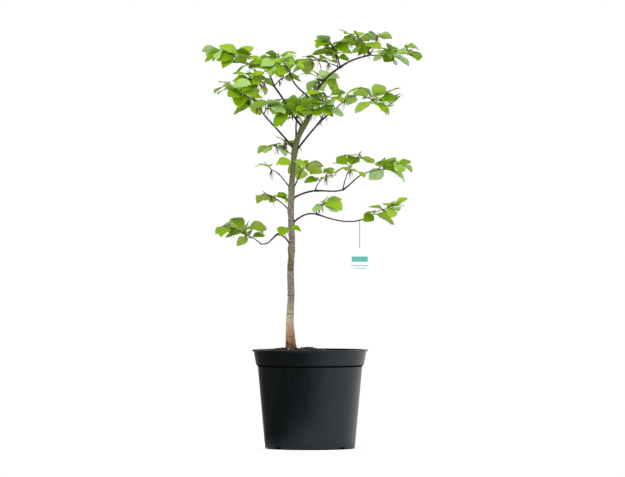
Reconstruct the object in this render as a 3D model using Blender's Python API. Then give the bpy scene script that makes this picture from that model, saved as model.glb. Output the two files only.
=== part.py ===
"""A young beech tree, about 0.95 m tall, in a round nursery pot that is full of potting mix.

The model is in metres, with +Z up and +X to the right of someone who looks along +Y. Its
origin is the centre of the pot's flat underside. The pot, the mix, the trunk, each bough, each
mass of foliage, and the plain tag and its thread are separate closed solids, 0.3 mm clear of
each other.

Trunk, boughs and the stems of the foliage are all limbs. A limb leaves the trunk at a height
along it, or carries on from the tip of a bough. It sets out on a heading, and follows a list of
pitches read evenly along its length. Foliage grows from its stem by one seeded rule: short
shoots leave the stem to its left and right, each with a few leaves. A shoot or leaf that would
leave its mass's room or touch anything is drawn again, and left out after a few tries.
"""

import math
import random
from collections import namedtuple

import bmesh
import bpy
from mathutils import Matrix, Vector
from mathutils.bvhtree import BVHTree

MM = 0.001
GAP = 0.3 * MM

# Pot, in millimetres: radii and heights of its outer surface
POT_HEIGHT = 222
RIM_RADIUS = 130
LIP_HEIGHT = 3.5
LIP_ROUNDING = 1
BAND_TOP_RADIUS = 126.3
BAND_FOOT_RADIUS = 121
BAND_FOOT_HEIGHT = 188
BAND_STEP = 3
WALL_TOP_RADIUS = 117.4
WALL_FOOT_RADIUS = 101
FOOT_ROUNDING = 3
WALL = 2.5
FLOOR = 3
POT_SIDES = 40
NOTCHES = 4
NOTCH_WIDTH = 18
NOTCH_HEIGHT = 6.5
NOTCH_DEPTH = 16

# Potting mix, heaped round the foot of the trunk
MIX_CLEARANCE = 0.5
MIX_HEIGHT = 212
HEAP_HEIGHT = 224
HEAP_RADIUS = 18
HEAP_RINGS = 3

# Trunk: its foot, and its girth at even steps from there to the cut stub at its top
TRUNK_FOOT = (-42, 0)
TRUNK_GIRTH = (24, 18.5, 15.6, 15.7, 14.6, 14, 13.6, 13.6, 12.2, 12.6, 12.3, 10.8, 9.5)
FLARE_LOBES = 5
FLARE_DEPTH = 0.16
FLARE_HEIGHT = 32
TRUNK_SIDES = 12
BOUGH_SIDES = 6
TWIG_SIDES = 3
TRUNK_STEP = 20
BOUGH_STEP = 14
STEM_STEP = 22

# Shoots and leaves of the foliage. Reaches and girths are in millimetres, and spreads, pitches,
# tilts and nods in degrees. A leaf's rows are shares of its length, with its half width there.
SEED = 111
STEM_GIRTH = (2.3, 1.5)
SHOOT_GIRTH = (1.9, 1.5)
SHOOT_REACH = (6, 22)
SHOOT_TRIES = 5
FIRST_SHOOT = 0.25
LAST_SHOOT = 0.9
SHARE_SPREAD = 0.1
LOOK_BACK = 0.2
SHOOT_SPREAD = (25, 100)
SHOOT_PITCH = (-8, 60)
JOINT_SHARE = 0.3
LEAVES_A_SHOOT = (2.5, 5.1)
LEAFY_SHARE = 0.7
LEAF_TRIES = 12
LEAF_LENGTH = 48
LEAF_SCALE = (0.62, 1.24)
LEAF_ROWS = ((0.13, 0.018), (0.40, 0.31), (0.72, 0.235))
LEAF_THICKNESS = 0.02
LEAF_ROOT_SINK = 1.2
LEAF_ARCH = (0.02, 0.15)
ARCH_SPAN = 0.9
LEAF_TILT = 48
LEAF_NOD = 34
LEAF_LEVELLING = 0.4
TIP_SPREAD = 30
SIDE_SPREAD = (30, 105)

# Hang tag: a card on a loop of thread round the low right bough
TAG_WIDTH = 60
TAG_HEIGHT = 62
TAG_THICKNESS = 0.9
TAG_CORNER = 8
TAG_HOLE_RADIUS = 2
TAG_HOLE_DROP = 5
THREAD_RADIUS = 0.45
THREAD_LENGTH = 62
THREAD_FROM_TIP = 9
THREAD_SLACK = 1.2
THREAD_BENDS = 6
THREAD_SIDES = 4
CORNER_BENDS = 4
HOLE_SIDES = 16

# A foot is a distance up the trunk, or the bough whose tip the limb carries on from.
# Headings and turns are in degrees, 0 along +X and 90 away from the viewer; the rest is in
# millimetres. A mass's room reaches (sideways, up, down) from its stem; its last value is its
# count of shoots.
Limb = namedtuple("Limb", "name foot heading turn pitches length girth room shoots", defaults=(None, 0))


def bough(name, foot, heading, turn, pitches, length, girth):
    return Limb("bough_" + name, foot, heading, turn, pitches, length, girth)


def mass(name, foot, heading, turn, pitches, length, room, shoots):
    parent = foot if isinstance(foot, int) else "bough_" + foot
    return Limb("foliage_" + name, parent, heading, turn, pitches, length, STEM_GIRTH, room, shoots)


TRUNK_PITCHES = (95, 93, 89, 86, 92, 90, 86, 89, 93, 91, 88, 87, 85, 83, 75, 59, 71, 76, 85)
TRUNK = Limb("trunk", None, 0, 0, TRUNK_PITCHES, 600, TRUNK_GIRTH)

BOUGHS = (
    bough("low_left_1", 219, 203, 6, (76, 49, -1), 58, (3.8, 3.2)),
    bough("low_left_2", "bough_low_left_1", 208, 4, (-42, -36, 4), 46, (3.1, 2.7)),
    bough("low_right_1", 279, 342, -3, (43, 25, -8), 66, (4.0, 3.4)),
    bough("low_right_2", "bough_low_right_1", 338, -4, (-18, -14, -2, 16), 118, (3.3, 2.7)),
    bough("left_spur", 306, 150, 0, (46, 33), 42, (2.9, 2.4)),
    bough("mid_right_1", 335, 15, 6, (31, 8), 60, (4.4, 3.9)),
    bough("mid_right_2", "bough_mid_right_1", 21, 9, (0, -2, 12), 70, (3.8, 3.4)),
    bough("mid_right_3", "bough_mid_right_2", 30, 0, (30, 40, 26), 64, (3.3, 2.9)),
    bough("left_twig", 358, 205, 0, (47, 48), 44, (2.9, 2.4)),
    bough("mid_back", 352, 62, 20, (40, 28), 74, (3.6, 3.0)),
    bough("upper_right_1", 440, 340, -6, (51, 46), 92, (4.6, 4.0)),
    bough("upper_right_2", "bough_upper_right_1", 333, -2, (38, 33), 49, (3.9, 3.5)),
    bough("upper_left", 446, 201, 12, (49, 46, 43, 45), 112, (4.6, 3.6)),
    bough("back", 462, 96, -16, (58, 40), 96, (4.2, 3.4)),
    bough("top_left_1", 500, 152, 6, (46, 56, 51), 118, (5.0, 4.3)),
    bough("top_left_2", "bough_top_left_1", 160, 0, (69, 66), 42, (3.8, 3.3)),
    bough("top_back", 540, 66, 14, (50, 36), 96, (4.2, 3.4)),
    bough("top_spur", 562, 218, 0, (42, 34, 50), 76, (4.2, 3.4)),
    bough("leader_1", 584, 14, 4, (54, 46, 30), 82, (5.6, 4.7)),
    bough("leader_2", "bough_leader_1", 16, 6, (36, 20, 12), 78, (4.2, 3.6)),
)

FOLIAGE = (
    mass("low_left_1", "low_left_1", 330, 0, (34, 20), 26, (48, 16, 14), 1),
    mass("low_left_2", "low_left_2", 208, 6, (40, 24, 24, 12), 84, (46, 26, 16), 4),
    mass("low_right_1", "low_right_1", 20, 0, (79, 30), 30, (46, 18, 12), 2),
    mass("low_right_2", "low_right_2", 335, 0, (18, 30, 6), 64, (46, 24, 14), 3),
    mass("left_spur", "left_spur", 160, 0, (30, 20), 20, (46, 14, 12), 2),
    mass("mid_right_1", "mid_right_1", 350, 0, (72, 33), 42, (46, 22, 12), 2),
    mass("mid_right_2", "mid_right_2", 32, 0, (78, 62, 46), 84, (44, 20, 14), 3),
    mass("mid_right_3", "mid_right_3", 20, -6, (20, 10, 14), 74, (46, 30, 22), 3),
    mass("left_twig", "left_twig", 200, 0, (40, 20), 22, (42, 16, 14), 1),
    mass("mid_back", "mid_back", 80, 0, (20, 10), 46, (46, 24, 20), 3),
    mass("mid_front", 415, 262, 0, (16, 10), 20, (40, 14, 26), 1),
    mass("mid_left", 433, 150, 0, (31, 20), 52, (46, 18, 18), 2),
    mass("upper_left_1", 456, 188, 0, (30, 20), 26, (30, 16, 14), 1),
    mass("upper_left_2", "upper_left", 305, 0, (60, 30), 26, (40, 22, 22), 3),
    mass("upper_left_3", "upper_left", 200, 12, (60, 44, 26, 14), 96, (46, 26, 26), 5),
    mass("back", "back", 84, 10, (16, 8), 60, (48, 34, 26), 4),
    mass("centre_left", 505, 236, 0, (42, 28), 58, (46, 26, 30), 3),
    mass("centre_front", 520, 292, 0, (22, 14), 74, (48, 28, 28), 4),
    mass("centre_right", "upper_right_1", 300, 0, (50, 30), 34, (44, 26, 24), 3),
    mass("upper_right_1", "upper_right_2", 215, 0, (60, 12), 44, (46, 22, 12), 3),
    mass("upper_right_2", "upper_right_2", 332, 6, (41, 32, -6, -30, -18), 140, (46, 22, 34), 6),
    mass("top_left_1", "top_left_1", 214, 0, (20, 6), 64, (44, 26, 30), 4),
    mass("top_left_2", "top_left_1", 48, 0, (44, 14), 56, (46, 26, 26), 3),
    mass("top_left_3", "top_left_2", 172, 0, (8, 28, 22), 106, (56, 18, 26), 6),
    mass("top_left_4", "top_left_2", 62, 0, (52, 6), 62, (48, 18, 18), 3),
    mass("top_back", "top_back", 88, 8, (14, 4), 66, (48, 26, 26), 4),
    mass("top_spur", "top_spur", 212, 0, (80, 44), 38, (44, 18, 22), 3),
    mass("leader_1", "leader_1", 201, 0, (22, 6), 70, (42, 16, 14), 3),
    mass("leader_2", "leader_1", 152, 0, (80, 56), 56, (50, 22, 18), 5),
    mass("leader_3", "leader_2", 190, 0, (70, 44), 48, (46, 20, 30), 4),
    mass("leader_4", "leader_2", 10, 0, (60, 78), 44, (44, 14, 22), 3),
    mass("leader_5", "leader_2", 16, 4, (-6, 8, 12), 84, (46, 20, 24), 4),
)

LIMBS = (TRUNK,) + BOUGHS + FOLIAGE
BY_NAME = {limb.name: limb for limb in LIMBS}

Leaf = namedtuple("Leaf", "root along across up length arch")
Shoot = namedtuple("Shoot", "points leaves")


def read_along(values, share):
    """Evenly spaced values, read at a share of the way on a smooth curve through them."""
    last = len(values) - 1
    place = min(max(share, 0.0), 1.0) * last
    i = min(int(place), last - 1)
    f = place - i
    before, a, b, after = (values[min(max(j, 0), last)] for j in range(i - 1, i + 3))
    bend = 2 * before - 5 * a + 4 * b - after
    return 0.5 * (2 * a + (b - before) * f + bend * f * f + (3 * a - before - 3 * b + after) * f**3)


def bearing(heading, pitch):
    """The unit vector that points along a heading and a pitch."""
    h, p = math.radians(heading), math.radians(pitch)
    return Vector((math.cos(p) * math.cos(h), math.cos(p) * math.sin(h), math.sin(p)))


def point_along(points, distance):
    """The point a distance along a line of points, or its end."""
    for a, b in zip(points, points[1:]):
        step = (b - a).length
        if distance <= step:
            return a.lerp(b, distance / step)
        distance -= step
    return points[-1].copy()


def limb_paths():
    """The centre line of every limb, by name: short steps that follow its pitches."""
    paths = {}
    for limb in LIMBS:
        if limb is TRUNK:
            start = Vector((TRUNK_FOOT[0] * MM, TRUNK_FOOT[1] * MM, HEAP_HEIGHT * MM + GAP))
        elif isinstance(limb.foot, int):
            start = point_along(paths["trunk"], limb.foot * MM)
        else:
            start = paths[limb.foot][-1]
        step = TRUNK_STEP if limb is TRUNK else STEM_STEP if limb.shoots else BOUGH_STEP
        steps = max(2, round(limb.length / step))
        points = [start]
        for i in range(steps):
            share = (i + 0.5) / steps
            way = bearing(limb.heading + limb.turn * share, read_along(limb.pitches, share))
            points.append(points[-1] + way * (limb.length / steps * MM))
        paths[limb.name] = points
    return paths


def sides_of(limb):
    return TRUNK_SIDES if limb is TRUNK else TWIG_SIDES if limb.shoots else BOUGH_SIDES


def radii(girths, count):
    return [read_along(girths, i / (count - 1)) * MM / 2 for i in range(count)]


def tube_rings(points, sizes, sides, level_foot=False):
    """Rings of points square to a line, each turned as little as possible from the last."""
    rings = []
    side = Vector((0, -1, 0.01))
    for i, point in enumerate(points):
        ahead = points[min(i + 1, len(points) - 1)] - points[max(i - 1, 0)]
        if level_foot and i == 0:
            ahead = Vector((0, 0, 1))
        ahead.normalize()
        side = (side - ahead * side.dot(ahead)).normalized()
        other = ahead.cross(side)
        angles = [2 * math.pi * k / sides for k in range(sides)]
        rings.append([point + (side * math.cos(a) + other * math.sin(a)) * sizes[i] for a in angles])
    return rings


def skin(rings):
    """Points and faces of the closed surface through the rings, with a flat face on each end."""
    sides = len(rings[0])
    points = [p for ring in rings for p in ring]
    faces = [tuple(reversed(range(sides)))]
    for r in range(len(rings) - 1):
        low, high = r * sides, (r + 1) * sides
        for k in range(sides):
            n = (k + 1) % sides
            faces.append((low + k, low + n, high + n, high + k))
    faces.append(tuple(range(len(points) - sides, len(points))))
    return points, faces


def tube(points, girths, sides):
    return skin(tube_rings(points, radii(girths, len(points)), sides))


def leaf_skin(leaf):
    """A thin closed blade: rows of margin, rib and margin along an arched midrib, to a point."""
    thick = leaf.length * LEAF_THICKNESS

    def place(share, half, drop=0.0):
        rise = leaf.arch * leaf.length * math.sin(ARCH_SPAN * math.pi * share)
        foot = leaf.root + leaf.along * leaf.length * share
        return foot + leaf.across * leaf.length * half + leaf.up * (rise - drop)

    points = [leaf.root - leaf.along * LEAF_ROOT_SINK * MM]
    for share, half in LEAF_ROWS:
        points += [place(share, -half), place(share, half), place(share, 0, thick)]
    points.append(place(1, 0))
    last = len(points) - 1
    faces = [(0, 1 + (k + 1) % 3, 1 + k) for k in range(3)]
    for row in range(len(LEAF_ROWS) - 1):
        low = 1 + 3 * row
        for k in range(3):
            n = (k + 1) % 3
            faces += [(low + k, low + n, low + 3 + n), (low + k, low + 3 + n, low + 3 + k)]
    faces += [(last - 3 + k, last - 3 + (k + 1) % 3, last) for k in range(3)]
    return points, faces


class Crown:
    """What stands in the crown so far, which says whether a new piece would touch any of it."""

    def __init__(self):
        self.trees = []
        self.owners = []
        self.boxes = []

    def add(self, shape, owner):
        self.trees.append(BVHTree.FromPolygons(*shape, epsilon=GAP))
        self.owners.append(owner)
        self.boxes.append(box_of(shape[0]))

    def is_clear(self, shape, outer_part, owner):
        """A piece may start inside its own mass, so there only its outer part has to be clear."""
        low, high = box_of(shape[0])
        whole = BVHTree.FromPolygons(*shape)
        outer = BVHTree.FromPolygons(*outer_part)
        for (their_low, their_high), tree, theirs in zip(self.boxes, self.trees, self.owners):
            if any(low[i] > their_high[i] or high[i] < their_low[i] for i in range(3)):
                continue
            if (outer if theirs == owner else whole).overlap(tree):
                return False
        return True


def box_of(points):
    return [min(p[i] for p in points) for i in range(3)], [max(p[i] for p in points) for i in range(3)]


def room_of(limb, stem):
    """The box that a mass of foliage keeps to, round its stem."""
    side, up, down = limb.room
    low, high = box_of(stem)
    low = [low[0] - side * MM, low[1] - side * MM, low[2] - down * MM]
    high = [high[0] + side * MM, high[1] + side * MM, high[2] + up * MM]
    return low, high


def is_inside(points, room):
    low, high = room
    return all(low[i] <= p[i] <= high[i] for p in points for i in range(3))


def draw_leaf(draw, root, heading, pitch):
    """A leaf with a length, tilt and curl of its own."""
    along = bearing(heading, pitch)
    level = Vector((0, 0, 1)).cross(along).normalized()
    tilt = math.radians(draw(-LEAF_TILT, LEAF_TILT))
    across = level * math.cos(tilt) + along.cross(level) * math.sin(tilt)
    length = LEAF_LENGTH * MM * draw(*LEAF_SCALE)
    return Leaf(root, along, across, along.cross(across), length, draw(*LEAF_ARCH))


def grow_leaves(draw, foot, tip, heading, pitch, room, crown, owner):
    """One leaf at the shoot's tip and others down its left and right by turns."""
    count = int(draw(*LEAVES_A_SHOOT))
    side = 1 if draw(-1, 1) > 0 else -1
    leaves = []
    for i in range(count):
        root = tip.lerp(foot, LEAFY_SHARE * i / count)
        for _ in range(LEAF_TRIES):
            spread = draw(-TIP_SPREAD, TIP_SPREAD) if i == 0 else side * draw(*SIDE_SPREAD)
            leaf_pitch = LEAF_LEVELLING * pitch + draw(-LEAF_NOD, LEAF_NOD)
            leaf = draw_leaf(draw, root, heading + spread, leaf_pitch)
            shape = leaf_skin(leaf)
            blade = (shape[0], shape[1][3:])
            if is_inside(shape[0], room) and crown.is_clear(shape, blade, owner):
                leaves.append(leaf)
                crown.add(shape, owner)
                break
        side = -side
    return leaves


def grow_shoot(draw, stem, share, side, room, crown, owner):
    """A short shoot that leaves the stem to one side, or carries on from its tip."""
    length = sum((b - a).length for a, b in zip(stem, stem[1:]))
    if side:
        share += draw(-SHARE_SPREAD, SHARE_SPREAD)
    root = point_along(stem, length * share)
    ahead = root - point_along(stem, length * (share - LOOK_BACK))
    stem_heading = math.degrees(math.atan2(ahead.y, ahead.x))
    for _ in range(SHOOT_TRIES):
        heading = stem_heading + (side * draw(*SHOOT_SPREAD) if side else draw(-TIP_SPREAD, TIP_SPREAD))
        pitch = draw(*SHOOT_PITCH)
        tip = root + bearing(heading, pitch) * draw(*SHOOT_REACH) * MM
        shape = tube([root, tip], SHOOT_GIRTH, TWIG_SIDES)
        outer = tube([root.lerp(tip, JOINT_SHARE), tip], SHOOT_GIRTH, TWIG_SIDES)
        if is_inside([tip], room) and crown.is_clear(shape, outer, owner):
            crown.add(shape, owner)
            leaves = grow_leaves(draw, root, tip, heading, pitch, room, crown, owner)
            return Shoot([root, tip], leaves)
    return None


def grow(limb, stem, crown):
    """All the shoots of one mass of foliage, to left and right by turns, and one at its tip."""
    draw = random.Random(f"{SEED} {limb.name}").uniform
    room = room_of(limb, stem)
    shoots = []
    for i in range(limb.shoots):
        is_tip = i == limb.shoots - 1
        share = 1 if is_tip else FIRST_SHOOT + (LAST_SHOOT - FIRST_SHOOT) * (i + 0.5) / (limb.shoots - 1)
        side = 0 if is_tip else 1 if i % 2 else -1
        shoot = grow_shoot(draw, stem, share, side, room, crown, limb.name)
        if shoot:
            shoots.append(shoot)
    return shoots


def standing_crown(paths):
    """The limbs, the pot and the tag, before any leaf grows."""
    crown = Crown()
    for limb in LIMBS:
        crown.add(tube(paths[limb.name], limb.girth, sides_of(limb)), limb.name)
    crown.add(skin(pot_rings()), "pot")
    crown.add(thread_skin(paths), "thread")
    crown.add(card_skin(paths), "card")
    return crown


def circle(radius, height, centre=(0, 0)):
    angles = [2 * math.pi * k / POT_SIDES for k in range(POT_SIDES)]
    x, y = centre
    return [
        Vector((x + radius * math.cos(a), y + radius * math.sin(a), height)) * MM for a in angles
    ]


def wall_profile():
    """The pot's outer wall as radii and heights, from the foot up to the rim's underside."""
    return (
        (WALL_FOOT_RADIUS, FOOT_ROUNDING),
        (WALL_TOP_RADIUS, BAND_FOOT_HEIGHT - BAND_STEP),
        (BAND_FOOT_RADIUS, BAND_FOOT_HEIGHT),
        (BAND_TOP_RADIUS, POT_HEIGHT - LIP_HEIGHT - LIP_ROUNDING),
    )


def pot_rings():
    """The pot's surface as rings: up the outside, over the lip, and down the inside."""
    outside = ((WALL_FOOT_RADIUS - FOOT_ROUNDING, 0),) + wall_profile()
    lip = (
        (RIM_RADIUS, POT_HEIGHT - LIP_HEIGHT),
        (RIM_RADIUS, POT_HEIGHT - LIP_ROUNDING),
        (RIM_RADIUS - LIP_ROUNDING, POT_HEIGHT),
        (BAND_TOP_RADIUS - WALL, POT_HEIGHT),
    )
    inside = [(radius - WALL, height) for radius, height in reversed(wall_profile()[:3])]
    inside[-1] = (WALL_FOOT_RADIUS - WALL, FLOOR)
    return [circle(radius, height) for radius, height in outside + lip + tuple(inside)]


def mix_rings():
    """The mix fills the pot to its level, then rises in off-centre rings to a flat pad."""
    foot, step_low, step_high, band_top = wall_profile()
    share = (MIX_HEIGHT - step_high[1]) / (POT_HEIGHT - step_high[1])
    edge = step_high[0] + (band_top[0] - step_high[0]) * share
    inset = WALL + MIX_CLEARANCE
    profile = ((foot[0], FLOOR + GAP / MM), step_low, step_high, (edge, MIX_HEIGHT))
    rings = [circle(radius - inset, height) for radius, height in profile]
    outer = edge - inset
    for i in range(1, HEAP_RINGS + 1):
        share = i / HEAP_RINGS
        rise = 3 * share**2 - 2 * share**3
        centre = (TRUNK_FOOT[0] * share, TRUNK_FOOT[1] * share)
        height = MIX_HEIGHT + (HEAP_HEIGHT - MIX_HEIGHT) * rise
        rings.append(circle(outer + (HEAP_RADIUS - outer) * share, height, centre))
    return rings


def trunk_skin(points):
    """The trunk, with its foot spread into shallow lobes where the roots set out."""
    sizes = radii(TRUNK_GIRTH, len(points))
    rings = tube_rings(points, sizes, TRUNK_SIDES, level_foot=True)
    for ring, centre in zip(rings, points):
        fade = max(0.0, 1 - (centre.z - points[0].z) / (FLARE_HEIGHT * MM)) ** 2
        for k, p in enumerate(ring):
            lobe = math.cos(FLARE_LOBES * 2 * math.pi * k / TRUNK_SIDES + 1)
            ring[k] = centre + (p - centre) * (1 + FLARE_DEPTH * fade * lobe)
    return skin(rings)


def thread_places(paths):
    """Where the thread crosses the bough, and the top edge of the card's hole below it."""
    bough_points = paths["bough_low_right_2"]
    limb = BY_NAME["bough_low_right_2"]
    top = point_along(bough_points, (limb.length - THREAD_FROM_TIP) * MM)
    return top, top - Vector((0, 0, THREAD_LENGTH * MM))


def thread_skin(paths):
    """A closed loop of thread: over the bough, down both sides, and through the card's hole."""
    top, hole_top = thread_places(paths)
    bough_radius = read_along(BY_NAME["bough_low_right_2"].girth, 1) * MM / 2
    high_radius = THREAD_SLACK * bough_radius + GAP + THREAD_RADIUS * MM
    low_radius = TAG_THICKNESS * MM / 2 + GAP + THREAD_RADIUS * MM
    low_centre = hole_top.z + low_radius - GAP - THREAD_RADIUS * MM
    bends = [math.pi * k / THREAD_BENDS for k in range(THREAD_BENDS + 1)]
    route = [(high_radius * math.cos(a), top.z + high_radius * math.sin(a)) for a in bends]
    route += [(-low_radius * math.cos(a), low_centre - low_radius * math.sin(a)) for a in bends]
    rings = []
    for i, (y, z) in enumerate(route):
        before, after = route[i - 1], route[(i + 1) % len(route)]
        ahead = Vector((0, after[0] - before[0], after[1] - before[1])).normalized()
        across = Vector((1, 0, 0))
        other = ahead.cross(across)
        angles = [2 * math.pi * (k + 0.5) / THREAD_SIDES for k in range(THREAD_SIDES)]
        centre = Vector((top.x, top.y + y, z))
        size = THREAD_RADIUS * MM
        rings.append([centre + (across * math.cos(a) + other * math.sin(a)) * size for a in angles])
    points, faces = skin(rings + rings[:1])
    count = len(points) - THREAD_SIDES
    faces = [tuple(v % count for v in face) for face in faces[1:-1]]
    return points[:count], faces


def card_skin(paths):
    """The card before its hole is cut: a flat plate with rounded corners, facing the viewer."""
    _, hole_top = thread_places(paths)
    top = hole_top.z + (TAG_HOLE_DROP - TAG_HOLE_RADIUS) * MM
    half, height, corner = TAG_WIDTH / 2, TAG_HEIGHT, TAG_CORNER
    outline = []
    for cx, cz, first in (
        (half - corner, -corner, 0),
        (corner - half, -corner, 90),
        (corner - half, corner - height, 180),
        (half - corner, corner - height, 270),
    ):
        for k in range(CORNER_BENDS + 1):
            a = math.radians(first + 90 * k / CORNER_BENDS)
            outline.append((cx + corner * math.cos(a), cz + corner * math.sin(a)))
    rings = [
        [Vector((hole_top.x + x * MM, hole_top.y + y, top + z * MM)) for x, z in outline]
        for y in (-TAG_THICKNESS * MM / 2, TAG_THICKNESS * MM / 2)
    ]
    return skin(rings)


def material(name, colour, roughness):
    made = bpy.data.materials.new(name)
    made.use_nodes = True
    shader = made.node_tree.nodes["Principled BSDF"]
    shader.inputs["Base Color"].default_value = (*colour, 1)
    shader.inputs["Roughness"].default_value = roughness
    shader.inputs["Metallic"].default_value = 0
    made.diffuse_color = (*colour, 1)
    return made


def add_object(name, shape, finish=None):
    """An object with the given points and faces, all its faces turned outwards."""
    points, faces = shape
    mesh = bpy.data.meshes.new(name)
    mesh.from_pydata([tuple(p) for p in points], [], faces)
    work = bmesh.new()
    work.from_mesh(mesh)
    bmesh.ops.recalc_face_normals(work, faces=work.faces)
    work.to_mesh(mesh)
    work.free()
    made = bpy.data.objects.new(name, mesh)
    bpy.context.scene.collection.objects.link(made)
    if finish:
        mesh.materials.append(finish)
    return made


def combine(piece, others, operation):
    """One Boolean of the piece with a collection of others, applied, with the others removed."""
    group = bpy.data.collections.new("others")
    bpy.context.scene.collection.children.link(group)
    for other in others:
        bpy.context.scene.collection.objects.unlink(other)
        group.objects.link(other)
    change = piece.modifiers.new(operation.title(), "BOOLEAN")
    change.operation = operation
    change.operand_type = "COLLECTION"
    change.collection = group
    change.solver = "EXACT"
    graph = bpy.context.evaluated_depsgraph_get()
    result = bpy.data.meshes.new_from_object(piece.evaluated_get(graph))
    piece.modifiers.clear()
    old, piece.data = piece.data, result
    result.name = piece.name
    bpy.data.meshes.remove(old)
    for other in others:
        bpy.data.objects.remove(other)
    bpy.data.collections.remove(group)


def keep_largest_body(piece):
    """Drops the scraps that a cut has left beside the piece's main body."""
    work = bmesh.new()
    work.from_mesh(piece.data)
    unseen = set(work.verts)
    bodies = []
    while unseen:
        front = {unseen.pop()}
        body = set(front)
        while front:
            front = {edge.other_vert(v) for v in front for edge in v.link_edges} & unseen
            unseen -= front
            body |= front
        bodies.append(body)
    bodies.sort(key=len)
    for scrap in bodies[:-1]:
        bmesh.ops.delete(work, geom=list(scrap), context="VERTS")
    work.to_mesh(piece.data)
    work.free()


def cut_clear(piece, limb, paths):
    """Cuts a limb clear of what it leaves, and of the limbs before it that leave the same tip."""
    place = LIMBS.index(limb)
    near = [TRUNK] if isinstance(limb.foot, int) else [BY_NAME[limb.foot]]
    near += [other for other in LIMBS[:place] if other.foot == limb.foot]
    cutters = []
    for other in near:
        points = paths[other.name]
        longer = points + [points[-1] + (points[-1] - points[-2]).normalized() * GAP]
        sizes = radii(other.girth, len(points))
        sizes = [r + GAP for r in sizes + sizes[-1:]]
        cutters.append(add_object("cutter", skin(tube_rings(longer, sizes, sides_of(other)))))
    combine(piece, cutters, "DIFFERENCE")
    keep_largest_body(piece)


def make_pot(finish):
    pot = add_object("pot", skin(pot_rings()), finish)
    corners = ((-1, -1), (1, -1), (1, 1), (-1, 1))
    block = skin([[Vector((x, y, z)) / 2 for x, y in corners] for z in (-1, 1)])
    cutters = []
    for i in range(NOTCHES):
        turned = Matrix.Rotation(2 * math.pi * (i + 0.5) / NOTCHES, 4, "Z")
        moved = Matrix.Translation((WALL_FOOT_RADIUS * MM, 0, 0))
        sized = Matrix.Diagonal((NOTCH_DEPTH * MM, NOTCH_WIDTH * MM, 2 * NOTCH_HEIGHT * MM, 1))
        cutter = add_object("cutter", block)
        cutter.matrix_world = turned @ moved @ sized
        cutters.append(cutter)
    combine(pot, cutters, "DIFFERENCE")


def make_bough(limb, paths, finish):
    piece = add_object(limb.name, tube(paths[limb.name], limb.girth, BOUGH_SIDES), finish)
    cut_clear(piece, limb, paths)


def make_foliage(limb, paths, crown, finish):
    """One mass: its shoots and leaves joined to its stem by one union, then cut clear."""
    stem = paths[limb.name]
    piece = add_object(limb.name, tube(stem, limb.girth, TWIG_SIDES), finish)
    others = []
    leaf_count = 0
    for shoot in grow(limb, stem, crown):
        others.append(add_object("shoot", tube(shoot.points, SHOOT_GIRTH, TWIG_SIDES)))
        others += [add_object("leaf", leaf_skin(leaf)) for leaf in shoot.leaves]
        leaf_count += len(shoot.leaves)
    combine(piece, others, "UNION")
    cut_clear(piece, limb, paths)
    return leaf_count


def make_tag(paths, card_finish, thread_finish):
    add_object("tag_thread", thread_skin(paths), thread_finish)
    card = add_object("tag_card", card_skin(paths), card_finish)
    _, hole_top = thread_places(paths)
    centre = hole_top - Vector((0, 0, TAG_HOLE_RADIUS * MM))
    ends = [centre + Vector((0, y * TAG_THICKNESS * MM, 0)) for y in (-1, 1)]
    hole = skin(tube_rings(ends, [TAG_HOLE_RADIUS * MM] * 2, HOLE_SIDES))
    combine(card, [add_object("cutter", hole)], "DIFFERENCE")


def main():
    for old in list(bpy.data.objects):
        bpy.data.objects.remove(old)
    plastic = material("black_pot_plastic", (0.025, 0.028, 0.03), 0.45)
    mix = material("potting_mix", (0.035, 0.024, 0.018), 0.95)
    bark = material("beech_bark", (0.21, 0.19, 0.13), 0.8)
    young_bark = material("young_beech_bark", (0.07, 0.045, 0.04), 0.6)
    green = material("beech_foliage", (0.2, 0.36, 0.03), 0.55)
    white_card = material("white_card", (0.85, 0.85, 0.83), 0.7)
    thread = material("tag_thread", (0.05, 0.05, 0.05), 0.8)
    make_pot(plastic)
    add_object("potting_mix", skin(mix_rings()), mix)
    paths = limb_paths()
    add_object("trunk", trunk_skin(paths["trunk"]), bark)
    for limb in BOUGHS:
        make_bough(limb, paths, young_bark)
    make_tag(paths, white_card, thread)
    crown = standing_crown(paths)
    leaves = sum(make_foliage(limb, paths, crown, green) for limb in FOLIAGE)
    print(leaves, "leaves")


if __name__ == "__main__":
    main()
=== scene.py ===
# %% [markdown]
# A young beech in a nursery pot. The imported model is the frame: it fixes every size and place.
# This script dresses it. It grows the crown again by the same seeded rule, but with leaves that
# have veins and a wavy edge, then adds finer twigs within the same reach.

# %% Load the frame
import math
import random
from collections import namedtuple

import bmesh
import bpy
import numpy as np
from mathutils import Matrix, Vector, noise
from mathutils.bvhtree import BVHTree


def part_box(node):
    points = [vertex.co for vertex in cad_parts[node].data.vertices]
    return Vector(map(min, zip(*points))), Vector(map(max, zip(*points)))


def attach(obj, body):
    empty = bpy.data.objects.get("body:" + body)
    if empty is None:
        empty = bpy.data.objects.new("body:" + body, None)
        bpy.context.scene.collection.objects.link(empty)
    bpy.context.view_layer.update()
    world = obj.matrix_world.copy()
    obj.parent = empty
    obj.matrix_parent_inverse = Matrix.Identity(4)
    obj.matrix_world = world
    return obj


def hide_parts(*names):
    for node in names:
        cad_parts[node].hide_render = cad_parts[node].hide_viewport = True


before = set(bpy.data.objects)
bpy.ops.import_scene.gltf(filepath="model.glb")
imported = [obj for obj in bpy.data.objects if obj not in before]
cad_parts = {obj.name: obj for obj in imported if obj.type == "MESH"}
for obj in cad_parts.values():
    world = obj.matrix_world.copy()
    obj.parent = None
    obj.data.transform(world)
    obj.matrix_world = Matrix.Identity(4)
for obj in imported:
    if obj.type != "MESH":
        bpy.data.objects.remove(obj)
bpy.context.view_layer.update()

MM = 0.001
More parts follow.
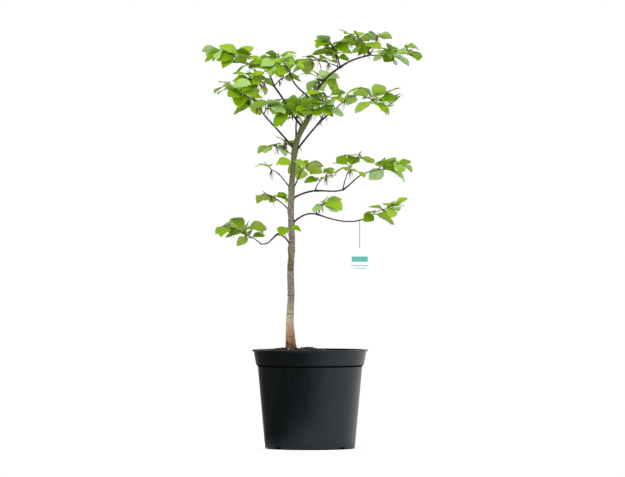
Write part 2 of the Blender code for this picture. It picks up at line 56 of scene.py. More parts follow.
# Pieces of the model that carry each other stand this far apart
GAP = 0.3 * MM

# %% [markdown]
# A tall plant is best seen from well back, or its pot bulges and its rim opens to an ellipse. The
# camera stands 12 m away with a long lens, so the rim shows almost as a line. The lens is worked
# out from the real size of one pixel, which is surer than moving the camera until all fits.

# %% Camera
PIXEL = 2.2453 * MM
VIEW_WIDTH = 625
VIEW_DISTANCE = 12
VIEW_CENTRE = (0.0056, 0, 0.4713)
EYE_HEIGHT = 0.49
SENSOR = 36
FARTHEST = 200

lens_data = bpy.data.cameras.new("camera")
camera = bpy.data.objects.new("camera", lens_data)
bpy.context.scene.collection.objects.link(camera)
camera.location = (VIEW_CENTRE[0], -VIEW_DISTANCE, EYE_HEIGHT)
camera.rotation_euler = (Vector(VIEW_CENTRE) - camera.location).to_track_quat("-Z", "Y").to_euler()
lens_data.sensor_width = SENSOR
lens_data.lens = SENSOR * VIEW_DISTANCE / (PIXEL * VIEW_WIDTH)
lens_data.clip_end = FARTHEST
bpy.context.scene.camera = camera
print("lens", round(lens_data.lens), "mm")

# %% [markdown]
# Colours are picked as a screen shows them, so one function turns them linear. Shader nodes could
# each be added, set and linked by hand, but that takes many lines that say little. One helper
# makes a node, sets its sockets or properties, and links its inputs.

# %% Colour and node helpers
def linear(code):
    """The linear colour of an sRGB hex code such as "84A036"."""
    parts = [int(code[i:i + 2], 16) / 255 for i in (0, 2, 4)]
    return tuple(c / 12.92 if c <= 0.04045 else ((c + 0.055) / 1.055) ** 2.4 for c in parts) + (1,)


def add_node(tree, kind, settings, links):
    """One shader node, with its settings, and a source socket for each linked input."""
    node = tree.nodes.new("ShaderNode" + kind)
    for key, value in settings.items():
        if isinstance(key, int) or key in node.inputs:
            node.inputs[key].default_value = value
        else:
            setattr(node, key, value)
    for key, source in links.items():
        tree.links.new(source, node.inputs[key])
    return node


print("white is", linear("FFFFFF"))

# %% [markdown]
# Daylight under a white tent has no hard edge. A white world gives most of it, and two wide
# soft lamps add shape. A dark room lies beyond the tent's open left side. A real wall there would
# darken the leaves too, so the world is dimmed for glossy rays alone, and the black pot darkens
# to the left.

# %% Light
ROOM_SIDE = (-0.97, -0.25, 0)
ROOM_EDGES = (-0.5, 0.4)
ROOM_LIGHT = 0.07
world = bpy.data.worlds.new("white_tent")
world.use_nodes = True
sky = world.node_tree
background = sky.nodes["Background"]
background.inputs["Color"].default_value = (1, 1, 1, 1)
way = add_node(sky, "TexCoord", {}, {})
facing = add_node(
    sky, "VectorMath", {"operation": "DOT_PRODUCT", 1: ROOM_SIDE}, {0: way.outputs["Generated"]}
)
mirrored = add_node(
    sky,
    "MapRange",
    {"From Min": ROOM_EDGES[0], "From Max": ROOM_EDGES[1], "To Min": 1.0, "To Max": ROOM_LIGHT},
    {"Value": facing.outputs["Value"]},
)
ray = add_node(sky, "LightPath", {}, {})
chosen = add_node(
    sky,
    "MapRange",
    {"To Min": 1.0},
    {"Value": ray.outputs["Is Glossy Ray"], "To Max": mirrored.outputs["Result"]},
)
sky.links.new(chosen.outputs["Result"], background.inputs["Strength"])
bpy.context.scene.world = world
bpy.context.scene.view_settings.view_transform = "Standard"

# Each lamp's name, place, width in metres and power in watts
LAMPS = (("key", (-1.8, -2.6, 3.4), 2.0, 55), ("rim", (2.6, 1.2, 2.2), 1.6, 22))
for lamp_name, place, width, watts in LAMPS:
    lamp_data = bpy.data.lights.new(lamp_name, "AREA")
    lamp_data.size = width
    lamp_data.energy = watts
    lamp = bpy.data.objects.new(lamp_name, lamp_data)
    bpy.context.scene.collection.objects.link(lamp)
    lamp.location = place
    lamp.rotation_euler = (Vector(VIEW_CENTRE) - lamp.location).to_track_quat("-Z", "Y").to_euler()
print(len(LAMPS), "soft lamps")

# %% [markdown]
# Natural and moulded surfaces are never one even colour. A finish could be a picture wrapped
# round the piece, but noise at a real size needs no picture and holds from every side. It blends
# a dark and a light colour and lifts the surface by a little relief.

# %% Finish helpers
NOISE_DETAIL = 5.0
BLEND_EDGES = (0.36, 0.64)
RELIEF_STRENGTH = 0.6
PLAIN_GRAIN = 1.2
PLAIN_RELIEF = 0.03
# How much finer a noise is along x, y and z
EVEN = (1, 1, 1)
UPWARD_STREAKS = (1, 1, 0.05)
ACROSS_STEM = (1, 1, 2.2)


def per_metre(millimetres):
    """The texture scale that gives a pattern of this real size."""
    return 1 / (millimetres * MM)


def finish(name, dark, light, grain, squeeze, relief, **shader):
    """A finish that wanders between two hex codes, with its grain and relief in millimetres."""
    made = bpy.data.materials.new(name)
    made.use_nodes = True
    tree = made.node_tree
    principled = tree.nodes["Principled BSDF"]
    place = add_node(tree, "TexCoord", {}, {})
    scaled = add_node(tree, "Mapping", {"Scale": squeeze}, {"Vector": place.outputs["Object"]})
    scale = {"Scale": per_metre(grain), "Detail": NOISE_DETAIL}
    blotch = add_node(tree, "TexNoise", scale, {"Vector": scaled.outputs["Vector"]}).outputs[0]
    strength = {"Distance": relief * MM, "Strength": RELIEF_STRENGTH}
    bump = add_node(tree, "Bump", strength, {"Height": blotch})
    tree.links.new(bump.outputs["Normal"], principled.inputs["Normal"])
    if dark == light:
        principled.inputs["Base Color"].default_value = linear(dark)
    else:
        edges = {"From Min": BLEND_EDGES[0], "From Max": BLEND_EDGES[1]}
        share = add_node(tree, "MapRange", edges, {"Value": blotch})
        ends = {"Color1": linear(dark), "Color2": linear(light)}
        colour = add_node(tree, "MixRGB", ends, {"Fac": share.outputs["Result"]})
        tree.links.new(colour.outputs["Color"], principled.inputs["Base Color"])
    for key, value in shader.items():
        principled.inputs[key.replace("_", " ")].default_value = value
    made.diffuse_color = linear(light)
    return made


def plain_finish(name, code, **shader):
    """A finish of one colour, for thin small pieces whose variety comes from piece to piece."""
    return finish(name, code, code, PLAIN_GRAIN, EVEN, PLAIN_RELIEF, **shader)


print("noise is blended between", BLEND_EDGES)

# %% [markdown]
# A nursery pot is injection-moulded polypropylene, black all through. The mix in it is peat and
# composted bark with grains of perlite, all matt. Three soils could be one noise, but chips and
# grains are pieces of their own here, so each keeps its own colour and edge.

# %% Pot and soil finishes
# Moulded and satin: it mirrors its surround softly, and flow streaks run up the wall
pot_plastic = finish(
    "moulded_black_polypropylene", "060809", "0B0F11", 9, UPWARD_STREAKS, 0.02,
    Roughness=0.34, IOR=1.49, Specular_Tint=(0.82, 0.94, 1, 1)
)
# Painted shade: the crease under the band is darker and matt, in place of the shadow under the band's step
crease_shade_plastic = finish(
    "peat_dusted_polypropylene", "030303", "070707", 9, UPWARD_STREAKS, 0.02,
    Roughness=0.9, Specular_IOR_Level=0.05
)
# Moist peat is crumbly and dark brown
potting_soil = finish("moist_potting_mix", "17110D", "3D2F24", 5, EVEN, 1.2, Roughness=0.95)
# Painted shade: the mix seen through the drain notches is nearly black, in place of the shade in the holes
notch_shade_soil = finish("soaked_potting_mix", "040302", "0A0806", 5, EVEN, 1.2, Roughness=0.9)
# Composted bark is torn and fibrous, and its chips differ in brown
bark_chip = finish("composted_bark_chips", "120D0A", "3C2D22", 6, EVEN, 0.4, Roughness=0.88)
# Perlite is volcanic glass popped by heat: chalky and off-white
perlite = finish("expanded_perlite", "C9C4B8", "EFECE4", 2, EVEN, 0.3, Roughness=0.9)
print("plastic and soil finishes are ready")

# %% [markdown]
# Young beech bark is smooth, dry and grey-brown. Old bud scars and the knot are darker, the ridge
# above the knot is olive, and the boughs are young wood, redder and a little glossier. One finish
# for all would lose the joints, so each part of the wood has its own.

# %% Bark finishes
# Fine marks lie across the stem, so the noise is squeezed along it
smooth_bark = finish(
    "smooth_beech_bark", "656050", "989080", 7, ACROSS_STEM, 0.25, Roughness=0.75, IOR=1.45
)
# Healed bark is corky and holds dirt
scar_bark = finish("scarred_beech_bark", "2E2419", "6B5A41", 3, EVEN, 0.3, Roughness=0.85)
# Algae give the sheltered ridge its olive
ridge_bark = finish("olive_beech_bark", "5A4A28", "85703F", 4, EVEN, 0.3, Roughness=0.75)
# Last year's wood is taut and dark, with a slight sheen
twig_bark = finish("young_beech_bark", "1E1412", "47362C", 5, EVEN, 0.2, Roughness=0.55, IOR=1.45)
print("bark finishes are ready")

# %% [markdown]
# The trunk isn't one colour from foot to top. Near the mix the bark is red-brown under a paler
# zone, and darker still at its very foot, and round the fork it turns olive. Painting that
# would need a picture. Masks by height, with ragged edges, lay these tones over the grey.

# %% Tones up the trunk
TONE_SHARE = 0.75
TONE_WANDER = 0.014
TONE_BLOTCH = 8
TONE_DETAIL = 4.0
WANDER_EDGES = (0.3, 0.7)
# Each tone's colour, then the heights in metres where it starts and where it is full
BARK_TONES = (
    ("C6B89A", 0.335, 0.290),
    ("A86640", 0.288, 0.250),
    ("2A1B14", 0.250, 0.228),
    ("66653A", 0.50, 0.66),
)
tree = smooth_bark.node_tree
principled = tree.nodes["Principled BSDF"]
place = add_node(tree, "TexCoord", {}, {}).outputs["Object"]
height = add_node(tree, "SeparateXYZ", {}, {"Vector": place})
scale = {"Scale": per_metre(TONE_BLOTCH), "Detail": TONE_DETAIL}
blotch = add_node(tree, "TexNoise", scale, {"Vector": place})
reach = {"To Min": -TONE_WANDER, "To Max": TONE_WANDER}
edges = {"From Min": WANDER_EDGES[0], "From Max": WANDER_EDGES[1]}
wander = add_node(tree, "MapRange", edges | reach, {"Value": blotch.outputs[0]})
terms = {0: height.outputs["Z"], 1: wander.outputs["Result"]}
level = add_node(tree, "Math", {"operation": "ADD"}, terms)
for code, start_height, full_height in BARK_TONES:
    edges = {"From Min": start_height, "From Max": full_height, "To Max": TONE_SHARE}
    mask = add_node(tree, "MapRange", edges, {"Value": level.outputs["Value"]})
    below = principled.inputs["Base Color"].links[0].from_socket
    sources = {"Fac": mask.outputs["Result"], "Color1": below}
    tone = add_node(tree, "MixRGB", {"Color2": linear(code)}, sources)
    tree.links.new(tone.outputs["Color"], principled.inputs["Base Color"])
print(len(BARK_TONES), "tones on the trunk")

# %% [markdown]
# Young beech leaves are thin and satin, and their lower face is paler and greyer. The lower
# greens are also brighter lime than that alone: painted light that shines through the thin blade.
# Each spray takes one of five greens, so the crown varies as a real one does. Their gloss is kept
# weak, because a white surround would wash the lime green out.

# %% Leaf finishes
LEAF_IOR = 1.42
LEAF_SPECULAR = 0.15
UPPER_ROUGHNESS = 0.5
LOWER_ROUGHNESS = 0.65
# The upper and the lower face of each green; the lower is paler, partly its own colour and partly painted
# light shining through
LEAF_GREENS = (
    ("688D05", "8AAC30"),
    ("7AA204", "95B73C"),
    ("8BB208", "A0BF4A"),
    ("91B726", "A5C666"),
    ("A0C66A", "AFCE8C"),
)


def leaf_finish(name, code, roughness):
    """Living leaf: a waxed skin over wet tissue, so less glossy than plastic."""
    return plain_finish(name, code, Roughness=roughness, IOR=LEAF_IOR, Specular_IOR_Level=LEAF_SPECULAR)


leaf_finishes = [
    (
        leaf_finish(f"beech_leaf_upper_{i}", upper, UPPER_ROUGHNESS),
        leaf_finish(f"beech_leaf_lower_{i}", lower, LOWER_ROUGHNESS),
    )
    for i, (upper, lower) in enumerate(LEAF_GREENS)
]
# Ribs have no green layer, so they are paler than the blade
leaf_rib = plain_finish("beech_leaf_rib", "A9B85A", Roughness=0.5)
# Bud scales are dry, papery and chestnut
bud_scale = finish("papery_bud_scale", "4A1E18", "7E4330", 2, EVEN, 0.05, Roughness=0.7)
print(len(leaf_finishes), "pairs of greens")

# %% [markdown]
# The growth rule is the one that shaped the solids. A limb could be drawn point by point, but one
# row says it all: a name, the place it leaves from, a heading and its turn in degrees, the pitches
# along it, and a length and girths in millimetres. Foliage keeps to a room round its stem.

# %% Values of the limbs
HEAP_HEIGHT = 224
TRUNK_FOOT = (-42, 0)
TRUNK_GIRTH = (24, 18.5, 15.6, 15.7, 14.6, 14, 13.6, 13.6, 12.2, 12.6, 12.3, 10.8, 9.5)
FLARE_LOBES = 5
FLARE_DEPTH = 0.16
FLARE_HEIGHT = 32
TRUNK_SIDES = 12
BOUGH_SIDES = 6
TWIG_SIDES = 3
TRUNK_STEP = 20
BOUGH_STEP = 14
STEM_STEP = 22
STEM_GIRTH = (2.3, 1.5)
Limb = namedtuple("Limb", "name foot heading turn pitches length girth room shoots", defaults=(None, 0))


def bough(name, foot, heading, turn, pitches, length, girth):
    """A limb without leaves."""
    return Limb("bough_" + name, foot, heading, turn, pitches, length, girth)


def mass(name, foot, heading, turn, pitches, length, room, shoots):
    """A stem of foliage, which leaves the trunk at a distance up it or a bough at its tip."""
    parent = foot if isinstance(foot, int) else "bough_" + foot
    return Limb("foliage_" + name, parent, heading, turn, pitches, length, STEM_GIRTH, room, shoots)


print("a limb has", len(Limb._fields), "fields")

# %% [markdown]
# The trunk sways a little at each old bud and then leans to the right at its fork. The boughs
# leave it low, middle and high, to all sides. A bough's foot is a distance up the trunk or the
# bough whose tip it carries on from.

# %% Trunk and boughs as rows
TRUNK_PITCHES = (95, 93, 89, 86, 92, 90, 86, 89, 93, 91, 88, 87, 85, 83, 75, 59, 71, 76, 85)
TRUNK = Limb("trunk", None, 0, 0, TRUNK_PITCHES, 600, TRUNK_GIRTH)

BOUGHS = (
    bough("low_left_1", 219, 203, 6, (76, 49, -1), 58, (3.8, 3.2)),
    bough("low_left_2", "bough_low_left_1", 208, 4, (-42, -36, 4), 46, (3.1, 2.7)),
    bough("low_right_1", 279, 342, -3, (43, 25, -8), 66, (4.0, 3.4)),
    bough("low_right_2", "bough_low_right_1", 338, -4, (-18, -14, -2, 16), 118, (3.3, 2.7)),
    bough("left_spur", 306, 150, 0, (46, 33), 42, (2.9, 2.4)),
    bough("mid_right_1", 335, 15, 6, (31, 8), 60, (4.4, 3.9)),
    bough("mid_right_2", "bough_mid_right_1", 21, 9, (0, -2, 12), 70, (3.8, 3.4)),
    bough("mid_right_3", "bough_mid_right_2", 30, 0, (30, 40, 26), 64, (3.3, 2.9)),
    bough("left_twig", 358, 205, 0, (47, 48), 44, (2.9, 2.4)),
    bough("mid_back", 352, 62, 20, (40, 28), 74, (3.6, 3.0)),
    bough("upper_right_1", 440, 340, -6, (51, 46), 92, (4.6, 4.0)),
    bough("upper_right_2", "bough_upper_right_1", 333, -2, (38, 33), 49, (3.9, 3.5)),
    bough("upper_left", 446, 201, 12, (49, 46, 43, 45), 112, (4.6, 3.6)),
    bough("back", 462, 96, -16, (58, 40), 96, (4.2, 3.4)),
    bough("top_left_1", 500, 152, 6, (46, 56, 51), 118, (5.0, 4.3)),
    bough("top_left_2", "bough_top_left_1", 160, 0, (69, 66), 42, (3.8, 3.3)),
    bough("top_back", 540, 66, 14, (50, 36), 96, (4.2, 3.4)),
    bough("top_spur", 562, 218, 0, (42, 34, 50), 76, (4.2, 3.4)),
    bough("leader_1", 584, 14, 4, (54, 46, 30), 82, (5.6, 4.7)),
    bough("leader_2", "bough_leader_1", 16, 6, (36, 20, 12), 78, (4.2, 3.6)),
)
print(len(BOUGHS), "boughs")

# %% [markdown]
# Beech holds its leaves in flat sprays. Each mass is one stem with a few shoots, in a room that
# reaches so far to the sides, up and down, which keeps the sky open between the masses.

# %% Foliage as rows
FOLIAGE = (
    mass("low_left_1", "low_left_1", 330, 0, (34, 20), 26, (48, 16, 14), 1),
    mass("low_left_2", "low_left_2", 208, 6, (40, 24, 24, 12), 84, (46, 26, 16), 4),
    mass("low_right_1", "low_right_1", 20, 0, (79, 30), 30, (46, 18, 12), 2),
    mass("low_right_2", "low_right_2", 335, 0, (18, 30, 6), 64, (46, 24, 14), 3),
    mass("left_spur", "left_spur", 160, 0, (30, 20), 20, (46, 14, 12), 2),
    mass("mid_right_1", "mid_right_1", 350, 0, (72, 33), 42, (46, 22, 12), 2),
    mass("mid_right_2", "mid_right_2", 32, 0, (78, 62, 46), 84, (44, 20, 14), 3),
    mass("mid_right_3", "mid_right_3", 20, -6, (20, 10, 14), 74, (46, 30, 22), 3),
    mass("left_twig", "left_twig", 200, 0, (40, 20), 22, (42, 16, 14), 1),
    mass("mid_back", "mid_back", 80, 0, (20, 10), 46, (46, 24, 20), 3),
    mass("mid_front", 415, 262, 0, (16, 10), 20, (40, 14, 26), 1),
    mass("mid_left", 433, 150, 0, (31, 20), 52, (46, 18, 18), 2),
    mass("upper_left_1", 456, 188, 0, (30, 20), 26, (30, 16, 14), 1),
    mass("upper_left_2", "upper_left", 305, 0, (60, 30), 26, (40, 22, 22), 3),
    mass("upper_left_3", "upper_left", 200, 12, (60, 44, 26, 14), 96, (46, 26, 26), 5),
    mass("back", "back", 84, 10, (16, 8), 60, (48, 34, 26), 4),
    mass("centre_left", 505, 236, 0, (42, 28), 58, (46, 26, 30), 3),
    mass("centre_front", 520, 292, 0, (22, 14), 74, (48, 28, 28), 4),
    mass("centre_right", "upper_right_1", 300, 0, (50, 30), 34, (44, 26, 24), 3),
    mass("upper_right_1", "upper_right_2", 215, 0, (60, 12), 44, (46, 22, 12), 3),
    mass("upper_right_2", "upper_right_2", 332, 6, (41, 32, -6, -30, -18), 140, (46, 22, 34), 6),
    mass("top_left_1", "top_left_1", 214, 0, (20, 6), 64, (44, 26, 30), 4),
    mass("top_left_2", "top_left_1", 48, 0, (44, 14), 56, (46, 26, 26), 3),
    mass("top_left_3", "top_left_2", 172, 0, (8, 28, 22), 106, (56, 18, 26), 6),
    mass("top_left_4", "top_left_2", 62, 0, (52, 6), 62, (48, 18, 18), 3),
    mass("top_back", "top_back", 88, 8, (14, 4), 66, (48, 26, 26), 4),
    mass("top_spur", "top_spur", 212, 0, (80, 44), 38, (44, 18, 22), 3),
    mass("leader_1", "leader_1", 201, 0, (22, 6), 70, (42, 16, 14), 3),
    mass("leader_2", "leader_1", 152, 0, (80, 56), 56, (50, 22, 18), 5),
    mass("leader_3", "leader_2", 190, 0, (70, 44), 48, (46, 20, 30), 4),
    mass("leader_4", "leader_2", 10, 0, (60, 78), 44, (44, 14, 22), 3),
    mass("leader_5", "leader_2", 16, 4, (-6, 8, 12), 84, (46, 20, 24), 4),
)

LIMBS = (TRUNK,) + BOUGHS + FOLIAGE
print(len(FOLIAGE), "masses of foliage")

# %% [markdown]
# A limb's centre line is walked in short steps. Its heading and pitch are read from a smooth
# curve at each step, which is how one row of numbers bends like wood and not like wire.

# %% Centre lines
def read_along(values, share):
    """Evenly spaced values, read at a share of the way on a smooth curve through them."""
    last = len(values) - 1
    place = min(max(share, 0.0), 1.0) * last
    i = min(int(place), last - 1)
    f = place - i
    before, a, b, after = (values[min(max(j, 0), last)] for j in range(i - 1, i + 3))
    bend = 2 * before - 5 * a + 4 * b - after
    return 0.5 * (2 * a + (b - before) * f + bend * f * f + (3 * a - before - 3 * b + after) * f**3)


def bearing(heading, pitch):
    """The unit vector that points along a heading and a pitch."""
    h, p = math.radians(heading), math.radians(pitch)
    return Vector((math.cos(p) * math.cos(h), math.cos(p) * math.sin(h), math.sin(p)))


def point_along(points, distance):
    """The point a distance along a line of points, or its end."""
    for a, b in zip(points, points[1:]):
        step = (b - a).length
        if distance <= step:
            return a.lerp(b, distance / step)
        distance -= step
    return points[-1].copy()


def limb_paths():
    """The centre line of every limb, by name: short steps that follow its pitches."""
    paths = {}
    for limb in LIMBS:
        if limb is TRUNK:
            start = Vector((TRUNK_FOOT[0] * MM, TRUNK_FOOT[1] * MM, HEAP_HEIGHT * MM + GAP))
        elif isinstance(limb.foot, int):
            start = point_along(paths["trunk"], limb.foot * MM)
        else:
            start = paths[limb.foot][-1]
        step = TRUNK_STEP if limb is TRUNK else STEM_STEP if limb.shoots else BOUGH_STEP
        steps = max(2, round(limb.length / step))
        points = [start]
        for i in range(steps):
            share = (i + 0.5) / steps
            way = bearing(limb.heading + limb.turn * share, read_along(limb.pitches, share))
            points.append(points[-1] + way * (limb.length / steps * MM))
        paths[limb.name] = points
    return paths


paths = limb_paths()
print(len(paths), "centre lines")

# %% [markdown]
# Wood is round, and a curve with a bevel would give it that. Rings of points do too, and they
# can be moved one by one afterwards. A skin closes them into a surface with two flat ends.

# %% Tubes
def sides_of(limb):
    """How many sides the solid of a limb has."""
    return TRUNK_SIDES if limb is TRUNK else TWIG_SIDES if limb.shoots else BOUGH_SIDES


def radii(girths, count):
    """Radii in metres at so many even steps along a limb."""
    return [read_along(girths, i / (count - 1)) * MM / 2 for i in range(count)]


def tube_rings(points, sizes, sides, level_foot=False):
    """Rings of points square to a line, each turned as little as possible from the last."""
    rings = []
    side = Vector((0, -1, 0.01))
    for i, point in enumerate(points):
        ahead = points[min(i + 1, len(points) - 1)] - points[max(i - 1, 0)]
        if level_foot and i == 0:
            ahead = Vector((0, 0, 1))
        ahead.normalize()
        side = (side - ahead * side.dot(ahead)).normalized()
        other = ahead.cross(side)
        angles = [2 * math.pi * k / sides for k in range(sides)]
        rings.append([point + (side * math.cos(a) + other * math.sin(a)) * sizes[i] for a in angles])
    return rings


def skin(rings):
    """Points and faces of the closed surface through the rings, with a flat face on each end."""
    sides = len(rings[0])
    points = [p for ring in rings for p in ring]
    faces = [tuple(reversed(range(sides)))]
    for r in range(len(rings) - 1):
        low, high = r * sides, (r + 1) * sides
        for k in range(sides):
            n = (k + 1) % sides
            faces.append((low + k, low + n, high + n, high + k))
    faces.append(tuple(range(len(points) - sides, len(points))))
    return points, faces


def tube(points, girths, sides):
    """The points and faces of a closed tube along a line."""
    return skin(tube_rings(points, radii(girths, len(points)), sides))


sample = tube(paths["trunk"], TRUNK_GIRTH, TRUNK_SIDES)
print("the trunk as a plain tube has", len(sample[1]), "faces")

# %% [markdown]
# Shoots leave their stem by turns to the left and right, and leaves do the same on a shoot. Each
# draws its own length, spread and tilt between limits, from a seed, so every run grows the same
# crown. Reaches and girths are in millimetres, and spreads, pitches, tilts and nods in degrees.
# A leaf's rows are shares of its length, with its half width there.

# %% Values of shoots and leaves
SEED = 111
SHOOT_GIRTH = (1.9, 1.5)
SHOOT_REACH = (6, 22)
SHOOT_TRIES = 5
FIRST_SHOOT = 0.25
LAST_SHOOT = 0.9
SHARE_SPREAD = 0.1
LOOK_BACK = 0.2
SHOOT_SPREAD = (25, 100)
SHOOT_PITCH = (-8, 60)
JOINT_SHARE = 0.3
LEAVES_A_SHOOT = (2.5, 5.1)
LEAFY_SHARE = 0.7
LEAF_TRIES = 12
LEAF_LENGTH = 48
LEAF_SCALE = (0.62, 1.24)
LEAF_ROWS = ((0.13, 0.018), (0.40, 0.31), (0.72, 0.235))
LEAF_THICKNESS = 0.02
LEAF_ROOT_SINK = 1.2
LEAF_ARCH = (0.02, 0.15)
ARCH_SPAN = 0.9
LEAF_TILT = 48
LEAF_NOD = 34
LEAF_LEVELLING = 0.4
TIP_SPREAD = 30
SIDE_SPREAD = (30, 105)

Leaf = namedtuple("Leaf", "root along across up length arch")
Shoot = namedtuple("Shoot", "points leaves")
print("leaves are", LEAF_LENGTH, "mm long before they are scaled by", LEAF_SCALE)

# %% [markdown]
# A leaf in the solids is a simple plate: a margin, a rib and a margin in each row, then a point.
# The fine blades come later, but each stands where its plate has found room, so the rule still
# needs the plates.

# %% A leaf as a plate
def leaf_skin(leaf):
    """A thin closed blade: rows of margin, rib and margin along an arched midrib, to a point."""
    thick = leaf.length * LEAF_THICKNESS

    def place(share, half, drop=0.0):
        rise = leaf.arch * leaf.length * math.sin(ARCH_SPAN * math.pi * share)
        foot = leaf.root + leaf.along * leaf.length * share
        return foot + leaf.across * leaf.length * half + leaf.up * (rise - drop)

    points = [leaf.root - leaf.along * LEAF_ROOT_SINK * MM]
    for share, half in LEAF_ROWS:
        points += [place(share, -half), place(share, half), place(share, 0, thick)]
    points.append(place(1, 0))
    last = len(points) - 1
    faces = [(0, 1 + (k + 1) % 3, 1 + k) for k in range(3)]
    for row in range(len(LEAF_ROWS) - 1):
        low = 1 + 3 * row
        for k in range(3):
            n = (k + 1) % 3
            faces += [(low + k, low + n, low + 3 + n), (low + k, low + 3 + n, low + 3 + k)]
    faces += [(last - 3 + k, last - 3 + (k + 1) % 3, last) for k in range(3)]
    return points, faces


print(len(LEAF_ROWS), "rows across a leaf")

# %% [markdown]
# Each mass keeps to a room of its own, so that the gaps between the masses stay open. A room
# could be any shape, but a box is quick to test and has only six numbers.

# %% Boxes and rooms
def box_of(points):
    """The lowest and the highest corner of the box round some points."""
    return [min(p[i] for p in points) for i in range(3)], [max(p[i] for p in points) for i in range(3)]


def room_of(limb, stem):
    """The box that a mass of foliage keeps to, round its stem."""
    side, up, down = limb.room
    low, high = box_of(stem)
    low = [low[0] - side * MM, low[1] - side * MM, low[2] - down * MM]
    high = [high[0] + side * MM, high[1] + side * MM, high[2] + up * MM]
    return low, high


def is_inside(points, room):
    """Whether all the points lie in a room."""
    low, high = room
    return all(low[i] <= p[i] <= high[i] for p in points for i in range(3))


print("the trunk's centre line fills", box_of(paths["trunk"]))

# %% [markdown]
# A leaf may not touch a limb, another leaf, the pot or the tag. Comparing every face with every
# other would be slow. A tree of boxes over each standing piece answers quickly, and a leaf that
# fails is drawn again a few times.

# %% The crown's clearances
class Crown:
    """What stands in the crown so far, which says whether a new piece would touch any of it."""

    def __init__(self):
        self.trees = []
        self.owners = []
        self.boxes = []

    def add(self, shape, owner):
        """Stand one more piece in the crown, under its owner's name."""
        self.trees.append(BVHTree.FromPolygons(*shape, epsilon=GAP))
        self.owners.append(owner)
        self.boxes.append(box_of(shape[0]))

    def is_clear(self, shape, outer_part, owner):
        """A piece may start inside its own mass, so there only its outer part has to be clear."""
        low, high = box_of(shape[0])
        whole = BVHTree.FromPolygons(*shape)
        outer = BVHTree.FromPolygons(*outer_part)
        for (their_low, their_high), tree, theirs in zip(self.boxes, self.trees, self.owners):
            if any(low[i] > their_high[i] or high[i] < their_low[i] for i in range(3)):
                continue
            if (outer if theirs == owner else whole).overlap(tree):
                return False
        return True


crown = Crown()
for limb in LIMBS:
    crown.add(tube(paths[limb.name], limb.girth, sides_of(limb)), limb.name)
for owner in ("pot", "tag_thread", "tag_card"):
    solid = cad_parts[owner].data
    crown.add(([v.co.copy() for v in solid.vertices], [tuple(f.vertices) for f in solid.polygons]), owner)
print(len(crown.trees), "pieces stand before the leaves grow")

# %% [markdown]
# Leaves could be scattered over the stems by a particle system, but it can't keep them out of
# each other. Here one leaf at a time is drawn, tested against the crown, and kept or left out.

# %% Growing leaves
def draw_leaf(draw, root, heading, pitch):
    """A leaf with a length, tilt and curl of its own."""
    along = bearing(heading, pitch)
    level = Vector((0, 0, 1)).cross(along).normalized()
    tilt = math.radians(draw(-LEAF_TILT, LEAF_TILT))
    across = level * math.cos(tilt) + along.cross(level) * math.sin(tilt)
    length = LEAF_LENGTH * MM * draw(*LEAF_SCALE)
    return Leaf(root, along, across, along.cross(across), length, draw(*LEAF_ARCH))


def grow_leaves(draw, foot, tip, heading, pitch, room, crown, owner):
    """One leaf at the shoot's tip and others down its left and right by turns."""
    count = int(draw(*LEAVES_A_SHOOT))
    side = 1 if draw(-1, 1) > 0 else -1
    leaves = []
    for i in range(count):
        root = tip.lerp(foot, LEAFY_SHARE * i / count)
        for _ in range(LEAF_TRIES):
            spread = draw(-TIP_SPREAD, TIP_SPREAD) if i == 0 else side * draw(*SIDE_SPREAD)
            leaf_pitch = LEAF_LEVELLING * pitch + draw(-LEAF_NOD, LEAF_NOD)
            leaf = draw_leaf(draw, root, heading + spread, leaf_pitch)
            shape = leaf_skin(leaf)
            blade = (shape[0], shape[1][3:])
            if is_inside(shape[0], room) and crown.is_clear(shape, blade, owner):
                leaves.append(leaf)
                crown.add(shape, owner)
                break
        side = -side
    return leaves


print("a leaf gets up to", LEAF_TRIES, "tries")

# %% [markdown]
# A shoot is a straight twig that leaves its stem to one side or carries on from its tip. It is
# tested in the same way as a leaf, and only a shoot that stands gets leaves.

# %% Growing shoots
def grow_shoot(draw, stem, share, side, room, crown, owner):
    """A short shoot that leaves the stem to one side, or carries on from its tip."""
    length = sum((b - a).length for a, b in zip(stem, stem[1:]))
    if side:
        share += draw(-SHARE_SPREAD, SHARE_SPREAD)
    root = point_along(stem, length * share)
    ahead = root - point_along(stem, length * (share - LOOK_BACK))
    stem_heading = math.degrees(math.atan2(ahead.y, ahead.x))
    for _ in range(SHOOT_TRIES):
        heading = stem_heading + (side * draw(*SHOOT_SPREAD) if side else draw(-TIP_SPREAD, TIP_SPREAD))
        pitch = draw(*SHOOT_PITCH)
        tip = root + bearing(heading, pitch) * draw(*SHOOT_REACH) * MM
        shape = tube([root, tip], SHOOT_GIRTH, TWIG_SIDES)
        outer = tube([root.lerp(tip, JOINT_SHARE), tip], SHOOT_GIRTH, TWIG_SIDES)
        if is_inside([tip], room) and crown.is_clear(shape, outer, owner):
            crown.add(shape, owner)
            leaves = grow_leaves(draw, root, tip, heading, pitch, room, crown, owner)
            return Shoot([root, tip], leaves)
    return None


def grow(limb, stem, crown):
    """All the shoots of one mass of foliage, to left and right by turns, and one at its tip."""
    draw = random.Random(f"{SEED} {limb.name}").uniform
    room = room_of(limb, stem)
    shoots = []
    for i in range(limb.shoots):
        is_tip = i == limb.shoots - 1
        share = 1 if is_tip else FIRST_SHOOT + (LAST_SHOOT - FIRST_SHOOT) * (i + 0.5) / (limb.shoots - 1)
        side = 0 if is_tip else 1 if i % 2 else -1
        shoot = grow_shoot(draw, stem, share, side, room, crown, limb.name)
        if shoot:
            shoots.append(shoot)
    return shoots


shoots = {limb.name: grow(limb, paths[limb.name], crown) for limb in FOLIAGE}
print(sum(len(s.leaves) for grown in shoots.values() for s in grown), "leaves, as in the solids")

# %% [markdown]
# The solids have few leaves, to stay light. A second pass of the same rule carries each stem to
# more twigs, in a slightly smaller room and clear of the first ones. Each mass takes the next
# seed, or the same shoots would come again.

